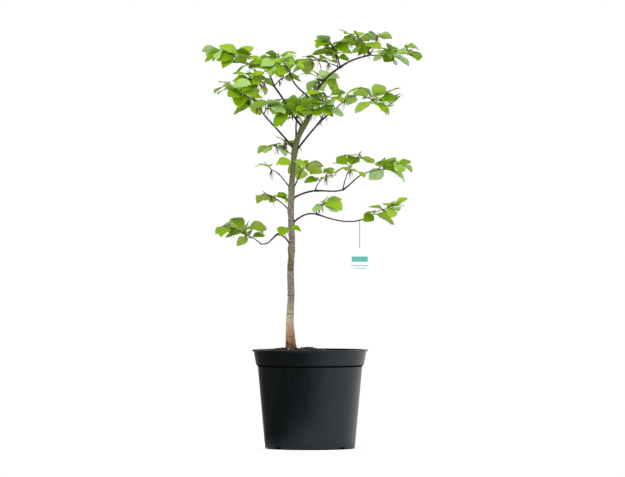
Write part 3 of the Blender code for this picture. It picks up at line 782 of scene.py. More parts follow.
# %% Finer twigs
FINE_SHARE = 0.5
FINE_ROOM = 0.9
LEAF_SCALE = (0.75, 1.2)
for limb in FOLIAGE:
    room = tuple(reach * FINE_ROOM for reach in limb.room)
    finer = limb._replace(shoots=int(limb.shoots * FINE_SHARE), room=room)
    SEED += 1
    shoots[limb.name] += grow(finer, paths[limb.name], crown)
print(sum(len(s.leaves) for grown in shoots.values() for s in grown), "leaves in all")

# %% [markdown]
# Every piece is a mesh from points and faces. One helper gives it its finish, smooths it but for
# its sharp edges, and hides the solids of the frame that it stands for. Another joins the shapes of
# a kind, because a few large meshes are lighter than thousands of small ones. A third lays a
# smooth line through a few points.

# %% Piece helpers
# The angles in degrees between faces that stay sharp, on most pieces and on soft ones
SHARP_ANGLE = 40
SOFT_ANGLE = 80


def fine_line(points, step):
    """A smooth line through the points, in steps of about this length."""
    length = sum((b - a).length for a, b in zip(points, points[1:]))
    count = max(3, round(length / step))
    columns = [[p[i] for p in points] for i in range(3)]
    return [Vector([read_along(c, k / count) for c in columns]) for k in range(count + 1)]


def joined(shapes):
    """One list of points and faces out of many."""
    points, faces = [], []
    for some_points, some_faces in shapes:
        start = len(points)
        points += [tuple(p) for p in some_points]
        faces += [tuple(v + start for v in face) for face in some_faces]
    return points, faces


def add_piece(name, shape, finishes, replaced=(), sharp=SHARP_ANGLE):
    """A shaded piece that rides on the plant and stands for some nodes of the frame."""
    mesh = bpy.data.meshes.new(name)
    mesh.from_pydata([tuple(p) for p in shape[0]], [], shape[1])
    for made in finishes:
        mesh.materials.append(made)
    work = bmesh.new()
    work.from_mesh(mesh)
    bmesh.ops.recalc_face_normals(work, faces=work.faces)
    work.to_mesh(mesh)
    work.free()
    mesh.shade_smooth()
    mesh.set_sharp_from_angle(angle=math.radians(sharp))
    piece = bpy.data.objects.new(name, mesh)
    bpy.context.scene.collection.objects.link(piece)
    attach(piece, "root")
    if replaced:
        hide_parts(*replaced)
    print(name, len(mesh.polygons), "faces")
    return piece


print("edges sharper than", SHARP_ANGLE, "degrees stay sharp")

# %% [markdown]
# Round things come from a profile that is turned as on a lathe. A bevel modifier could round
# their corners, but rounding the profile first keeps the faces even. Chips, notches and ink are
# all made from one block.

# %% Lathe and block
CORNER_REACH = 0.45
CORNER_STEPS = 4


def turned(profile, sides, centre=(0, 0)):
    """Rings of points for a profile of radii and heights in millimetres."""
    angles = [2 * math.pi * k / sides for k in range(sides)]
    x, y = centre
    return [
        [Vector((x + r * math.cos(a), y + r * math.sin(a), z)) * MM for a in angles] for r, z in profile
    ]


def rounded(profile, radius):
    """The profile with each corner between its ends rounded off."""
    line = [Vector(p) for p in profile]
    out = [line[0]]
    for before, corner, after in zip(line, line[1:], line[2:]):
        back, ahead = before - corner, after - corner
        start = corner + back.normalized() * min(radius, back.length * CORNER_REACH)
        end = corner + ahead.normalized() * min(radius, ahead.length * CORNER_REACH)
        for k in range(CORNER_STEPS + 1):
            f = k / CORNER_STEPS
            out.append(start.lerp(corner, f).lerp(corner.lerp(end, f), f))
    return [tuple(p) for p in out + [line[-1]]]


corners = ((-1, -1), (1, -1), (1, 1), (-1, 1))
block, block_faces = skin([[Vector((x, y, z)) / 2 for x, y in corners] for z in (-1, 1)])
print("a block has", len(block), "corners and", len(block_faces), "faces")

# %% [markdown]
# The pot is thin moulded plastic: a tapered wall, a wider band under the rim, and a rolled
# lip. Stacked cones would show seams, so a lathe turns one profile, in millimetres.

# %% Pot
POT_HEIGHT = 222
RIM_RADIUS = 130
LIP_HEIGHT = 3.5
LIP_ROUNDING = 1
BAND_TOP_RADIUS = 126.3
BAND_FOOT_RADIUS = 121
BAND_FOOT_HEIGHT = 188
BAND_STEP = 3
WALL_TOP_RADIUS = 117.4
WALL_FOOT_RADIUS = 101
FOOT_ROUNDING = 3
WALL = 2.5
FLOOR = 3
FINE_SIDES = 144
CORNER_ROUNDING = 1.3


def wall_profile():
    """The pot's outer wall as radii and heights, from the foot up to the rim's underside."""
    return (
        (WALL_FOOT_RADIUS, FOOT_ROUNDING),
        (WALL_TOP_RADIUS, BAND_FOOT_HEIGHT - BAND_STEP),
        (BAND_FOOT_RADIUS, BAND_FOOT_HEIGHT),
        (BAND_TOP_RADIUS, POT_HEIGHT - LIP_HEIGHT - LIP_ROUNDING),
    )


outside = ((WALL_FOOT_RADIUS - FOOT_ROUNDING, 0),) + wall_profile()
lip = (
    (RIM_RADIUS, POT_HEIGHT - LIP_HEIGHT),
    (RIM_RADIUS, POT_HEIGHT),
    (BAND_TOP_RADIUS - WALL, POT_HEIGHT),
)
inside = [(radius - WALL, height) for radius, height in reversed(wall_profile()[:3])]
inside[-1] = (WALL_FOOT_RADIUS - WALL, FLOOR)
pot_rings = turned(rounded(outside + lip + tuple(inside), CORNER_ROUNDING), FINE_SIDES)
pot = add_piece("nursery_pot", skin(pot_rings), [pot_plastic, crease_shade_plastic], ["pot"])

# %% [markdown]
# Water drains through notches cut in the pot's foot. A boolean with four blocks cuts them
# cleanly through wall and floor, where moving points would bend the wall. The faces of the crease
# under the band then take a darker, matt finish: painted shade under the band's step.

# %% Drain notches and crease
NOTCHES = 4
NOTCH_WIDTH = 18
NOTCH_HEIGHT = 6.5
NOTCH_DEPTH = 16
CREASE = 1.5
notch_shapes = []
for i in range(NOTCHES):
    turn = Matrix.Rotation(2 * math.pi * (i + 0.5) / NOTCHES, 4, "Z")
    move = Matrix.Translation((WALL_FOOT_RADIUS * MM, 0, 0))
    size = Matrix.Diagonal((NOTCH_DEPTH * MM, NOTCH_WIDTH * MM, 2 * NOTCH_HEIGHT * MM, 1))
    notch_shapes.append(([turn @ move @ size @ p for p in block], block_faces))
notch_points, notch_faces = joined(notch_shapes)
cutter_mesh = bpy.data.meshes.new("notches")
cutter_mesh.from_pydata(notch_points, [], notch_faces)
cutter = bpy.data.objects.new("notches", cutter_mesh)
bpy.context.scene.collection.objects.link(cutter)
cut = pot.modifiers.new("notches", "BOOLEAN")
cut.operation = "DIFFERENCE"
cut.object = cutter
cut_pot = bpy.data.meshes.new_from_object(pot.evaluated_get(bpy.context.evaluated_depsgraph_get()))
pot.modifiers.clear()
pot.data = cut_pot
bpy.data.objects.remove(cutter)
crease_foot = BAND_FOOT_HEIGHT - BAND_STEP - CREASE
# Painted shade: the crease faces under the band take the darker, matt finish
for face in cut_pot.polygons:
    x, y, z = (c / MM for c in face.center)
    if crease_foot < z < BAND_FOOT_HEIGHT and math.hypot(x, y) > WALL_TOP_RADIUS - WALL / 2:
        face.material_index = 1
print("pot with", NOTCHES, "drain notches,", len(cut_pot.polygons), "faces")

# %% [markdown]
# Potting mix is uneven: a lumpy surface that climbs a little to the trunk. A displaced grid would
# need trimming at the pot, so rings run from the wall in to the trunk and noise moves their
# points up and down. Behind the drain notches the mix is painted nearly black, as painted shade in the
# holes.

# %% Potting mix
MIX_CLEARANCE = 0.5
MIX_HEIGHT = 212
HEAP_RADIUS = 18
MIX_RINGS = 46
LUMP_HEIGHT = 1.6
LUMP_SIZE = 6
CRUMB_SIZE = 2.2
CRUMB_SHARE = 0.6
CRUMB_LAYER = 9
EDGE_RISE = 8
inset = WALL + MIX_CLEARANCE
foot_ring, step_low, step_high, band_top = wall_profile()
mix_share = (MIX_HEIGHT - step_high[1]) / (POT_HEIGHT - step_high[1])
outer = step_high[0] + (band_top[0] - step_high[0]) * mix_share - inset


def mix_surface(x, y, share):
    """The height of the mix, where share is 0 at its edge and 1 at the trunk."""
    rise = 3 * share**2 - 2 * share**3
    lump = noise.noise(Vector((x, y, 0)) / LUMP_SIZE)
    lump += CRUMB_SHARE * noise.noise(Vector((x, y, CRUMB_LAYER)) / CRUMB_SIZE)
    fade = (1 - share) * min(1, EDGE_RISE * share)
    return MIX_HEIGHT + (HEAP_HEIGHT - MIX_HEIGHT) * rise + LUMP_HEIGHT * lump * fade


def toward_trunk(share):
    """The centre of the ring of mix that is this far in from the wall."""
    return TRUNK_FOOT[0] * share, TRUNK_FOOT[1] * share


mix_foot = (foot_ring[0], FLOOR + GAP / MM)
rings = turned([(r - inset, z) for r, z in (mix_foot, step_low, step_high)], FINE_SIDES)
for i in range(MIX_RINGS + 1):
    share = i / MIX_RINGS
    radius = outer + (HEAP_RADIUS - outer) * share
    ring = turned([(radius, 0)], FINE_SIDES, toward_trunk(share))[0]
    for p in ring:
        p.z = mix_surface(p.x / MM, p.y / MM, share) * MM
    rings.append(ring)
soils = [potting_soil, notch_shade_soil]
heap = add_piece("potting_mix_heap", skin(rings), soils, ["potting_mix"], SOFT_ANGLE)
# Painted shade: faces below the notches' top take the nearly black finish
for face in heap.data.polygons:
    if min(heap.data.vertices[v].co.z for v in face.vertices) < NOTCH_HEIGHT * MM:
        face.material_index = 1

# %% [markdown]
# Bark chips and white grains lie all over the mix, and a small pile of chips shows over the rim.
# One chip copied with instances would look alike everywhere. Each is a block of its own with
# uneven corners, and the draws for its place, size and turn come from one seed. Sizes are in
# millimetres, and a width is a share of its length.

# %% Bark chips and white grains
CHIP_SEED = 5
CHIPS = 900
CHIP_LENGTH = (4, 15)
CHIP_WIDTH = (0.3, 0.6)
CHIP_THICKNESS = (1, 2.6)
CHIP_SLOPE = 0.5
CHIP_LIFT = 0.35
WALL_CLEARANCE = 6
GRAINS = 60
GRAIN_LENGTH = (2, 3.6)
GRAIN_THICKNESS = 2
PILE_CHIPS = 90
PILE_LENGTH = (6, 15)
PILE_WIDTH = (0.4, 0.7)
PILE_THICKNESS = (2, 4)
PILE_SLOPE = 0.9
PILE_ARCH = (0.1, 0.9)
PILE_FILL = (0.3, 1)
PILE_START = -30
PILE_END = 20
PILE_DEPTH = 13
PILE_LIFT = 3
PILE_HEIGHT = 11
FULL_TURN = 6.3
UNEVENNESS = (0.7, 1.1)


def loose_turn(draw, slope):
    """Any way round, and tipped by up to a slope in radians."""
    return Matrix.Rotation(draw(0, FULL_TURN), 3, "Z") @ Matrix.Rotation(draw(-slope, slope), 3, "X")


def splinter(draw, size, turn, place):
    """A block of this size with uneven corners, turned and set down at a place."""
    uneven = [Vector([p[i] * size[i] * draw(*UNEVENNESS) for i in range(3)]) for p in block]
    return [(turn @ p + place) * MM for p in uneven], block_faces


def strewn(draw, length, thickness):
    """A flat chip or grain, laid on the mix at a random place."""
    angle = draw(0, 2 * math.pi)
    share = 1 - math.sqrt(draw(0, 1))
    radius = (outer - WALL_CLEARANCE) * (1 - share) + HEAP_RADIUS * share
    x, y = toward_trunk(share)
    x += radius * math.cos(angle)
    y += radius * math.sin(angle)
    turn = loose_turn(draw, CHIP_SLOPE)
    size = (length, length * draw(*CHIP_WIDTH), thickness)
    return splinter(draw, size, turn, Vector((x, y, mix_surface(x, y, share) + thickness * CHIP_LIFT)))


def heaped(draw, share):
    """A thick chip of the small pile beside the trunk, which shows over the rim."""
    bulge = math.sin(math.pi * (PILE_ARCH[0] + (PILE_ARCH[1] - PILE_ARCH[0]) * share))
    height = MIX_HEIGHT + PILE_LIFT + PILE_HEIGHT * bulge * draw(*PILE_FILL)
    turn = loose_turn(draw, PILE_SLOPE)
    length = draw(*PILE_LENGTH)
    size = (length, length * draw(*PILE_WIDTH), draw(*PILE_THICKNESS))
    x = PILE_START + (PILE_END - PILE_START) * share
    return splinter(draw, size, turn, Vector((x, draw(-PILE_DEPTH, PILE_DEPTH), height)))


draw = random.Random(CHIP_SEED).uniform
chips = [strewn(draw, draw(*CHIP_LENGTH), draw(*CHIP_THICKNESS)) for _ in range(CHIPS)]
chips += [heaped(draw, i / (PILE_CHIPS - 1)) for i in range(PILE_CHIPS)]
grains = [strewn(draw, draw(*GRAIN_LENGTH), GRAIN_THICKNESS) for _ in range(GRAINS)]
add_piece("bark_chips", joined(chips), [bark_chip])
add_piece("perlite_grains", joined(grains), [perlite])

# %% [markdown]
# Young beech bark is smooth but not even: low wrinkles run across it, small pores stand out, a
# collar swells where each bough leaves, and old bud rings stay as scars. A bump map would vanish
# at the trunk's edge, so all of these are in the mesh. Each noise is so many cells a metre,
# across the stem and along it, and each height is in millimetres.

# %% Bark relief
WRINKLE_CELLS = (160, 520)
WRINKLE_HEIGHT = 0.32
SWELL_CELLS = 55
SWELL_HEIGHT = 0.5
PORE_CELLS = (330, 800)
PORE_LAYER = 7
PORE_CUT = 0.42
PORE_HEIGHT = 2.2
SCAR_HEIGHTS = (302, 344)
SCAR_WIDTH = 1.4
SCAR_SWELL = 0.45
COLLAR_REACH = 7
COLLAR_SWELL = 1.5
COLLAR_PITCH = 20


def trunk_radius(distance):
    """The trunk's radius, in metres, this far up it in millimetres."""
    return read_along(TRUNK_GIRTH, distance / TRUNK.length) / 2 * MM


def bark_relief(p, feet):
    """How far the bark stands out at a point, in millimetres."""
    across, along = WRINKLE_CELLS
    wrinkle = noise.noise(Vector((p.x * across, p.y * across, p.z * along)))
    swell = noise.noise(p * SWELL_CELLS)
    across, along = PORE_CELLS
    pore = max(0.0, noise.noise(Vector((p.x * across + PORE_LAYER, p.y * across, p.z * along))) - PORE_CUT)
    scar = sum(math.exp(-(((p.z / MM - h) / SCAR_WIDTH) ** 2)) for h in SCAR_HEIGHTS)
    collar = sum(math.exp(-((p - foot).length / (COLLAR_REACH * MM)) ** 2) for foot in feet)
    relief = WRINKLE_HEIGHT * wrinkle + SWELL_HEIGHT * swell + PORE_HEIGHT * pore
    return relief + SCAR_SWELL * scar + COLLAR_SWELL * collar


bough_feet = [
    paths[limb.name][0] + bearing(limb.heading, COLLAR_PITCH) * trunk_radius(limb.foot)
    for limb in BOUGHS + FOLIAGE
    if isinstance(limb.foot, int)
]
print(len(bough_feet), "collars on the trunk")

# %% [markdown]
# The trunk widens in lobes at its foot. It is the same tube as its solid, but in much finer
# rings, so that the relief has points to move.

# %% Trunk's surface
BARK_SIDES = 56
BARK_STEP = 1.6 * MM
LOBE_START = 1
trunk_line = fine_line(paths["trunk"], BARK_STEP)
rings = tube_rings(trunk_line, radii(TRUNK_GIRTH, len(trunk_line)), BARK_SIDES, level_foot=True)
for ring, centre in zip(rings, trunk_line):
    fade = max(0.0, 1 - (centre.z - trunk_line[0].z) / (FLARE_HEIGHT * MM)) ** 2
    for k, p in enumerate(ring):
        lobe = math.cos(FLARE_LOBES * 2 * math.pi * k / BARK_SIDES + LOBE_START)
        out = (p - centre) * (1 + FLARE_DEPTH * fade * lobe)
        ring[k] = centre + out + out.normalized() * bark_relief(p, bough_feet) * MM
trunk_shape = skin(rings)
print("trunk with", len(rings), "rings of", BARK_SIDES, "points")

# %% [markdown]
# The lowest bough has grown up against the trunk from a knot, so an olive ridge leads to it. It
# is a thin tube laid half into the bark, through places given as a distance up the trunk and a
# side of it. Sculpting would do it too, but a few named places are easier to change. Heights
# and widths are in millimetres, but the knot's width is an angle round the trunk in radians.

# %% Ridge, scars and knot
RIDGE = ((178, 270), (190, 264), (203, 248), (212, 226), (220, 206), (227, 198))
RIDGE_GIRTH = (3.4, 5.2, 5.4, 5.0, 4.6, 4.4)
RIDGE_SIDES = 16
SCAR_HALF = 1.0
SCAR_WANDER = 1.6
WANDER_HEIGHT = 40
WANDER_CELLS = 2
KNOT_HEIGHT = 408
KNOT_TALL = 7
KNOT_WIDE = 0.7
KNOT_RIM = 0.3
KNOT_WANDER = 6
BARK_ANGLE = 60


def on_trunk(distance, heading):
    """The place on the bark this far up the trunk, on this side of it."""
    return point_along(paths["trunk"], distance * MM) + bearing(heading, 0) * trunk_radius(distance)


def is_dark(spot):
    """Whether a place on the bark lies on an old bud scar or on the knot's rim."""
    middle = point_along(paths["trunk"], spot.z - HEAP_HEIGHT * MM)
    turn = math.atan2(spot.y - middle.y, spot.x - middle.x)
    z = spot.z / MM
    around = Vector((math.cos(turn), math.sin(turn), z / WANDER_HEIGHT))
    ragged = SCAR_WANDER * noise.noise(around * WANDER_CELLS)
    eye = math.hypot((z - KNOT_HEIGHT) / KNOT_TALL, (turn + math.pi / 2) / KNOT_WIDE)
    on_scar = any(abs(z - height - ragged) < SCAR_HALF for height in SCAR_HEIGHTS)
    return on_scar or abs(eye - 1 + ragged / KNOT_WANDER) < KNOT_RIM


ridge = [on_trunk(*place) for place in RIDGE] + [paths["bough_low_left_1"][1]]
ridge_line = fine_line(ridge, BARK_STEP)
ridge_tube = skin(tube_rings(ridge_line, radii(RIDGE_GIRTH, len(ridge_line)), RIDGE_SIDES))
bark_finishes = [smooth_bark, scar_bark, ridge_bark]
wood = joined([trunk_shape, ridge_tube])
trunk = add_piece("trunk_bark", wood, bark_finishes, ["trunk"], BARK_ANGLE)
for face in trunk.data.polygons:
    if face.index >= len(trunk_shape[1]):
        face.material_index = 2
    elif is_dark(face.center):
        face.material_index = 1
print(sum(face.material_index == 1 for face in trunk.data.polygons), "faces of scar and knot")

# %% [markdown]
# Boughs are tubes too, thinner and darker. Each starts on the centre line of the limb that
# carries it, so no gap shows, widens where it leaves, and swells a little at old leaf joints.
# Curves with a bevel would be quicker, but they can't swell at the joints so simply. Spacings
# are in millimetres, and flares and swells are shares of the girth.

# %% Boughs and twigs
FINE_BOUGH_SIDES = 14
FINE_TWIG_SIDES = 8
FINE_STEP = 2 * MM
FINE_STEM_STEP = 3 * MM
BOUGH_FLARE = 0.55
TWIG_FLARE = 0.3
FLARE_REACH = 11
JOINT_SPACING = 17
JOINT_PLACE = 8
JOINT_LENGTH = 1.5
JOINT_SWELL = 0.16


def limb_tube(points, girth, sides, step, flare):
    """A tapering twig with evenly spaced joints, widened at its foot."""
    line = fine_line(points, step)
    sizes = radii(girth, len(line))
    for i in range(len(line)):
        along = i * step / MM
        from_joint = (along + JOINT_PLACE) % JOINT_SPACING - JOINT_PLACE
        joint = math.exp(-((from_joint / JOINT_LENGTH) ** 2))
        sizes[i] *= 1 + JOINT_SWELL * joint + flare * math.exp(-((along / FLARE_REACH) ** 2))
    return skin(tube_rings(line, sizes, sides))


bough_shapes = [
    limb_tube(paths[b.name], b.girth, FINE_BOUGH_SIDES, FINE_STEP, BOUGH_FLARE) for b in BOUGHS
]
bough_names = [limb.name for limb in BOUGHS]
add_piece("beech_boughs", joined(bough_shapes), [twig_bark], bough_names)
twig_shapes = [
    limb_tube(paths[m.name], m.girth, FINE_TWIG_SIDES, FINE_STEM_STEP, TWIG_FLARE) for m in FOLIAGE
]
for grown in shoots.values():
    for shoot in grown:
        twig_shapes.append(limb_tube(shoot.points, SHOOT_GIRTH, FINE_TWIG_SIDES, FINE_STEP, TWIG_FLARE))
mass_names = [limb.name for limb in FOLIAGE]
add_piece("beech_twigs", joined(twig_shapes), [twig_bark], mass_names)

# %% [markdown]
# A beech leaf is an oval with straight side veins that end in the margin. The blade folds
# up a little from its midrib, sinks and rises between the veins, and has a wavy edge. A flat
# card with a picture would look cut out from the side. A grid of points holds all of it: rows
# run up the leaf and columns across it, on an upper and a lower face. Widths and waves are
# shares of the leaf's length.

# %% Leaf blades
LENGTHWISE = 28
CROSSWISE = 8
NECK = 0.13
BLADE_HALF = 0.32
BLADE_FULLNESS = 0.74
BLADE_LEAST = 0.008
VEIN_PAIRS = 7
VEIN_SWEEP = 0.2
PLEAT = 0.011
TEETH = 0.012
EDGE_WAVE = 0.02
EDGE_BENDS = 3
EDGE_OFFSET = 2
FOLD = 0.12
LEAF_THICK = 0.35 * MM
U = np.linspace(0, 1, LENGTHWISE + 1)[:, None]
T = np.linspace(-1, 1, CROSSWISE + 1)[None, :]


def blade_points(leaf, wave, droop):
    """The upper and lower faces of one leaf, as rows of points."""
    share = NECK + (1 - NECK) * U + 0 * T
    oval = np.clip(np.sin(np.pi * U), 0, 1)
    half = np.maximum(BLADE_HALF * oval**BLADE_FULLNESS, BLADE_LEAST)
    vein = np.cos(2 * np.pi * VEIN_PAIRS * (U - VEIN_SWEEP * abs(T)))
    wide = T * half * (1 + TEETH * abs(T) * vein)
    rise = leaf.arch * np.sin(ARCH_SPAN * np.pi * share) - droop * share**3
    rise = rise + FOLD * abs(T) * half + PLEAT * abs(T) * vein
    bend = np.sin(EDGE_BENDS * np.pi * U + wave + EDGE_OFFSET * (T > 0))
    rise = rise + EDGE_WAVE * T**2 * half / BLADE_HALF * bend
    along, across, up = (np.array(v) for v in (leaf.along, leaf.across, leaf.up))
    middle = np.array(leaf.root) + leaf.length * (
        share[..., None] * along + wide[..., None] * across + rise[..., None] * up
    )
    faces = [(middle + side * LEAF_THICK / 2 * up).reshape(-1, 3) for side in (1, -1)]
    return np.concatenate(faces)


def blade_faces():
    """Quads of the upper face, then of the lower face and the rim between them."""
    width = CROSSWISE + 1
    low = (LENGTHWISE + 1) * width
    upper = [
        (r * width + c, (r + 1) * width + c, (r + 1) * width + c + 1, r * width + c + 1)
        for r in range(LENGTHWISE)
        for c in range(CROSSWISE)
    ]
    lower = [tuple(v + low for v in reversed(quad)) for quad in upper]
    loop = [r * width for r in range(LENGTHWISE)] + [LENGTHWISE * width + c for c in range(CROSSWISE)]
    loop += [r * width + CROSSWISE for r in range(LENGTHWISE, 0, -1)] + list(range(CROSSWISE, 0, -1))
    rim = [(b, a, a + low, b + low) for a, b in zip(loop, loop[1:] + loop[:1])]
    return np.array(upper + lower + rim), len(upper)


QUADS, UPPER_COUNT = blade_faces()
print(len(QUADS), "faces a leaf")

# %% [markdown]
# All leaves of one green are one mesh, because hundreds of objects would slow the scene down. A
# spray draws its green, and each leaf draws how far its tip droops and where its edge wave
# starts. A pale rib runs under each blade.

# %% Leaves dealt out by spray
LEAF_SEED = 8
GREEN_WEIGHTS = (2, 4, 4, 3, 2)
DROOP = (0.0, 0.18)
WAVE_START = (0, 6)
RIB_POINTS = 9
RIB_REACH = 9.3
RIB_SINK = 0.2
RIB_GIRTH = (1.5, 0.5)
RIB_SIDES = 5


def rib_tube(leaf, droop):
    """The midrib: a thin tapering tube along the middle of the blade."""
    line = []
    for k in range(RIB_POINTS):
        share = k / RIB_REACH
        rise = leaf.arch * math.sin(ARCH_SPAN * math.pi * share) - droop * share**3
        ahead = leaf.along * leaf.length * share
        line.append(leaf.root + ahead + leaf.up * (rise * leaf.length - RIB_SINK * MM))
    return tube(line, RIB_GIRTH, RIB_SIDES)


deal = random.Random(LEAF_SEED)
by_green = [[] for _ in LEAF_GREENS]
rib_shapes = []
for grown in shoots.values():
    for shoot in grown:
        green = deal.choices(range(len(LEAF_GREENS)), GREEN_WEIGHTS)[0]
        for leaf in shoot.leaves:
            droop = deal.uniform(*DROOP)
            by_green[green].append(blade_points(leaf, deal.uniform(*WAVE_START), droop))
            rib_shapes.append(rib_tube(leaf, droop))
for i, blades in enumerate(by_green):
    points = np.concatenate(blades)
    size = (LENGTHWISE + 1) * (CROSSWISE + 1) * 2
    quads = np.concatenate([QUADS + k * size for k in range(len(blades))])
    shape = (points.tolist(), quads.tolist())
    leaves = add_piece(f"beech_leaves_{i}", shape, leaf_finishes[i], (), SOFT_ANGLE)
    sides = np.ones(len(quads), dtype=np.int32).reshape(len(blades), -1)
    sides[:, :UPPER_COUNT] = 0
    leaves.data.polygons.foreach_set("material_index", sides.ravel())
add_piece("leaf_ribs", joined(rib_shapes), [leaf_rib])

# %% [markdown]
# Beech drops its long bud scales late: they still hang in small brown tufts below the joints.
# Flat planes would vanish edge on, so each is a narrow curved strip with a little thickness. A
# slim pointed bud ends every shoot.

# %% Bud scales and buds
STRIP_STEPS = 5
STRIP_TAPER = (0.8, 6.4)
STRIP_HALF_THICK = 0.15
TUFT_SHARE = 0.45
TUFT_COUNT = (3, 7)
SCALE_PITCH = (-70, -20)
SCALE_LENGTH = (6, 15)
SCALE_WIDTH = (1.3, 2.2)
BUD_LENGTH = 6
BUD_GIRTH = (1.3, 2.0, 1.7, 0.9, 0.2)
BUD_SIDES = 8


def strip(root, way, length, width):
    """A narrow papery strip that curves down from its root."""
    across = way.cross(Vector((0, 0, 1))).normalized() * width / 2
    thin = Vector((0, 0, STRIP_HALF_THICK * MM))
    rings = []
    for k in range(STRIP_STEPS + 1):
        share = k / STRIP_STEPS
        p = root + way * length * share + Vector((0, 0, -length * share**2))
        narrow = across * math.sin(math.pi * (k + STRIP_TAPER[0]) / STRIP_TAPER[1])
        rings.append([p - narrow - thin, p + narrow - thin, p + narrow + thin, p - narrow + thin])
    return skin(rings)


scales = []
buds = []
for limb in FOLIAGE:
    for shoot in shoots[limb.name]:
        foot, tip = shoot.points
        ahead = (tip - foot).normalized() * BUD_LENGTH * MM
        bud_line = [tip + ahead * k / (len(BUD_GIRTH) - 1) for k in range(len(BUD_GIRTH))]
        buds.append(tube(bud_line, BUD_GIRTH, BUD_SIDES))
        if deal.random() < TUFT_SHARE:
            for _ in range(deal.randint(*TUFT_COUNT)):
                way = bearing(deal.uniform(0, 360), deal.uniform(*SCALE_PITCH))
                length = deal.uniform(*SCALE_LENGTH) * MM
                scales.append(strip(foot, way, length, deal.uniform(*SCALE_WIDTH) * MM))
add_piece("bud_scales", joined(scales), [bud_scale], (), SOFT_ANGLE)
add_piece("buds", joined(buds), [bud_scale])

# %% [markdown]
# The hang tag is coated card with round corners and a hole. A boolean could punch the hole, but
# bridging two loops of points gives clean faces.

# %% Tag's card
TAG_WIDTH = 60
TAG_HEIGHT = 62
TAG_THICKNESS = 0.9
TAG_CORNER = 8
TAG_HOLE_RADIUS = 2
TAG_HOLE_DROP = 5
CORNER_ARC = range(0, 91, 10)
CARD_ANGLE = 30
# Clay-coated board: white and even, with a soft sheen
white_card = finish("coated_white_card", "F2F2EF", "FDFDFB", 3, EVEN, 0.02, Roughness=0.5)
card_low, card_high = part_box("tag_card")
middle_x = (card_low[0] + card_high[0]) / 2
front = card_low[1]
hole_z = card_high[2] - TAG_HOLE_DROP * MM
corner = TAG_CORNER * MM
half = TAG_WIDTH / 2 * MM - corner
half_tall = TAG_HEIGHT / 2 * MM - corner
card_middle = card_high[2] - TAG_HEIGHT / 2 * MM
outline = []
for quarter, (sx, sz) in enumerate(((1, 1), (-1, 1), (-1, -1), (1, -1))):
    for degrees in CORNER_ARC:
        a = math.radians(degrees) + quarter * math.pi / 2
        outline.append((sx * half + corner * math.cos(a), sz * half_tall + corner * math.sin(a)))


def plate(y_front, y_back):
    """The card as two loops round its outline and two round its hole, bridged into a plate."""
    count = len(outline)
    angles = [math.atan2(z + card_middle - hole_z, x) for x, z in outline]
    hole = [(TAG_HOLE_RADIUS * MM * math.cos(a), TAG_HOLE_RADIUS * MM * math.sin(a)) for a in angles]
    points = []
    for y in (y_front, y_back):
        points += [(middle_x + x, y, card_middle + z) for x, z in outline]
        points += [(middle_x + x, y, hole_z + z) for x, z in hole]
    faces = []
    for k in range(count):
        n = (k + 1) % count
        faces += [(k, n, n + count, k + count)]
        faces += [(k + 2 * count, k + 3 * count, n + 3 * count, n + 2 * count)]
        faces += [(k, k + 2 * count, n + 2 * count, n)]
        faces += [(k + count, n + count, n + 3 * count, k + 3 * count)]
    return points, faces


add_piece("hang_tag_card", plate(front, card_high[1]), [white_card], ["tag_card"], CARD_ANGLE)

# %% [markdown]
# The tag's face is plain but for a band and two rules. A picture could carry them, but such
# plain shapes need none, so thin plates stand for the ink.

# %% Tag's ink
INK_THICKNESS = 0.06
# The foot, top and half width of each printed shape, up from the card's lower edge
INK_BANDS = ((28, 40, 18), (18, 20, 20), (12, 13.5, 14))
# Offset ink dries as flat as the card under it
ink = plain_finish("teal_printing_ink", "5DB9AE", Roughness=0.5)
prints = []
for low, high, reach in INK_BANDS:
    centre = Vector((middle_x, front, card_low[2] + (low + high) / 2 * MM))
    size = (2 * reach * MM, INK_THICKNESS * MM, (high - low) * MM)
    prints.append(([centre + Vector([p[i] * size[i] for i in range(3)]) for p in block], block_faces))
add_piece("tag_ink", joined(prints), [ink])

# %% [markdown]
# The card hangs on a two-ply thread, tied in a loop over the bough and through the hole. Real
# twist takes two curves wound round each other. At this size one tube whose section is slightly
# oval, turned from ring to ring, catches the light in the same way.

# %% Thread
THREAD_RADIUS = 0.45
# The real thread would be too fine to show, so it is drawn a little thicker
STRAND_RADIUS = 0.65
STRAND_SIDES = 8
LOOP_BENDS = 10
TWIST_STEP = 0.5 * MM
TWIST_TURN = 0.9
TWIST_DEPTH = 0.14
# Cotton is fuzzy and matt, and dyed nearly black
cotton = finish("spun_dark_cotton", "191512", "2E2722", 0.8, EVEN, 0.1, Roughness=0.85)
thread_low, thread_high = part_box("tag_thread")
ply = THREAD_RADIUS * MM
top_radius = (thread_high[1] - thread_low[1]) / 2 - ply
low_radius = TAG_THICKNESS * MM / 2 + GAP + ply
thread_x = (thread_low[0] + thread_high[0]) / 2
thread_y = (thread_low[1] + thread_high[1]) / 2
top_z = thread_high[2] - ply - top_radius
low_z = thread_low[2] + ply + low_radius
bends = [math.pi * k / LOOP_BENDS for k in range(LOOP_BENDS + 1)]
over = [(top_radius * math.cos(a), top_z + top_radius * math.sin(a)) for a in bends]
under = [(-low_radius * math.cos(a), low_z - low_radius * math.sin(a)) for a in bends]
route = [Vector((thread_x, thread_y + y, z)) for y, z in over + under]
dense = []
for a, b in zip(route, route[1:] + route[:1]):
    steps = max(1, round((b - a).length / TWIST_STEP))
    dense += [a.lerp(b, k / steps) for k in range(steps)]
dense.append(dense[0])
rings = tube_rings(dense, [STRAND_RADIUS * MM] * len(dense), STRAND_SIDES)
for i, (ring, centre) in enumerate(zip(rings, dense)):
    for k, p in enumerate(ring):
        turn = 2 * (2 * math.pi * k / STRAND_SIDES + i * TWIST_TURN)
        ring[k] = centre + (p - centre) * (1 - TWIST_DEPTH + TWIST_DEPTH * math.cos(turn))
add_piece("tag_thread_loop", skin(rings), [cotton], ["tag_thread"], SOFT_ANGLE)
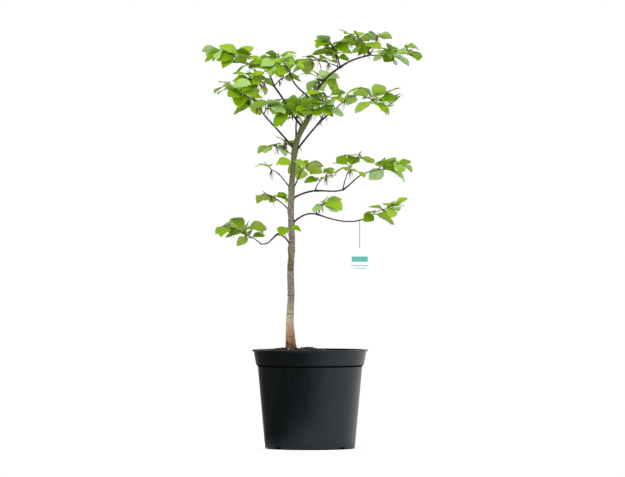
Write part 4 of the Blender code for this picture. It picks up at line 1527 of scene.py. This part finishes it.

# %% [markdown]
# The floor is a round pale table under the pot. It glows a little, so that it meets the white
# world with no line, and still takes the soft shadow where the pot stands. A floor without end
# would be mirrored all the way up the glossy pot, so it ends just past the crown. For glossy rays
# alone its left side is painted dark, a painted reflection of the dark room beyond the tent.

# %% Floor's finish
FLOOR_EDGES = (-0.2, -0.03)
FLOOR_GRAIN = 400
FLOOR_GLOW = 0.25
# Painted board: matt and even
floor_finish = finish("pale_floor", "F4F4F2", "FAFAF8", FLOOR_GRAIN, EVEN, 0.0, Roughness=0.9)
tree = floor_finish.node_tree
floor_shader = tree.nodes["Principled BSDF"]
floor_shader.inputs["Emission Color"].default_value = (1, 1, 1, 1)
floor_shader.inputs["Emission Strength"].default_value = FLOOR_GLOW
# Painted reflection: glossy rays see a diffuse floor that darkens to the left, in place of the dark room
# beyond the tent
spot = add_node(tree, "TexCoord", {}, {})
across = add_node(tree, "SeparateXYZ", {}, {"Vector": spot.outputs["Object"]})
edges = {"From Min": FLOOR_EDGES[0], "From Max": FLOOR_EDGES[1]}
pale = add_node(tree, "MapRange", edges, {"Value": across.outputs["X"]})
ends = {"Color1": linear("181818"), "Color2": linear("F0F3FA")}
tone = add_node(tree, "MixRGB", ends, {"Fac": pale.outputs["Result"]})
mirrored = add_node(tree, "BsdfDiffuse", {}, {"Color": tone.outputs["Color"]})
ray = add_node(tree, "LightPath", {}, {})
sources = {0: ray.outputs["Is Glossy Ray"], 1: floor_shader.outputs["BSDF"], 2: mirrored.outputs["BSDF"]}
both = add_node(tree, "MixShader", {}, sources)
tree.links.new(both.outputs["Shader"], tree.nodes["Material Output"].inputs["Surface"])
print("gloss sees the floor darken over", FLOOR_EDGES)

# %% [markdown]
# A flat disc is enough for a table that shows no edge, and a plane would end in corners. It is
# staging, which means that it isn't a part of the plant.

# %% Floor
FLOOR_RADIUS = 300
FLOOR_DROP = -0.2
floor_mesh = bpy.data.meshes.new("floor")
table_edge = turned([(FLOOR_RADIUS, FLOOR_DROP)], FINE_SIDES)[0]
floor_mesh.from_pydata(table_edge, [], [tuple(range(FINE_SIDES))])
floor_mesh.materials.append(floor_finish)
floor = bpy.data.objects.new("floor", floor_mesh)
bpy.context.scene.collection.objects.link(floor)
print("floor laid")
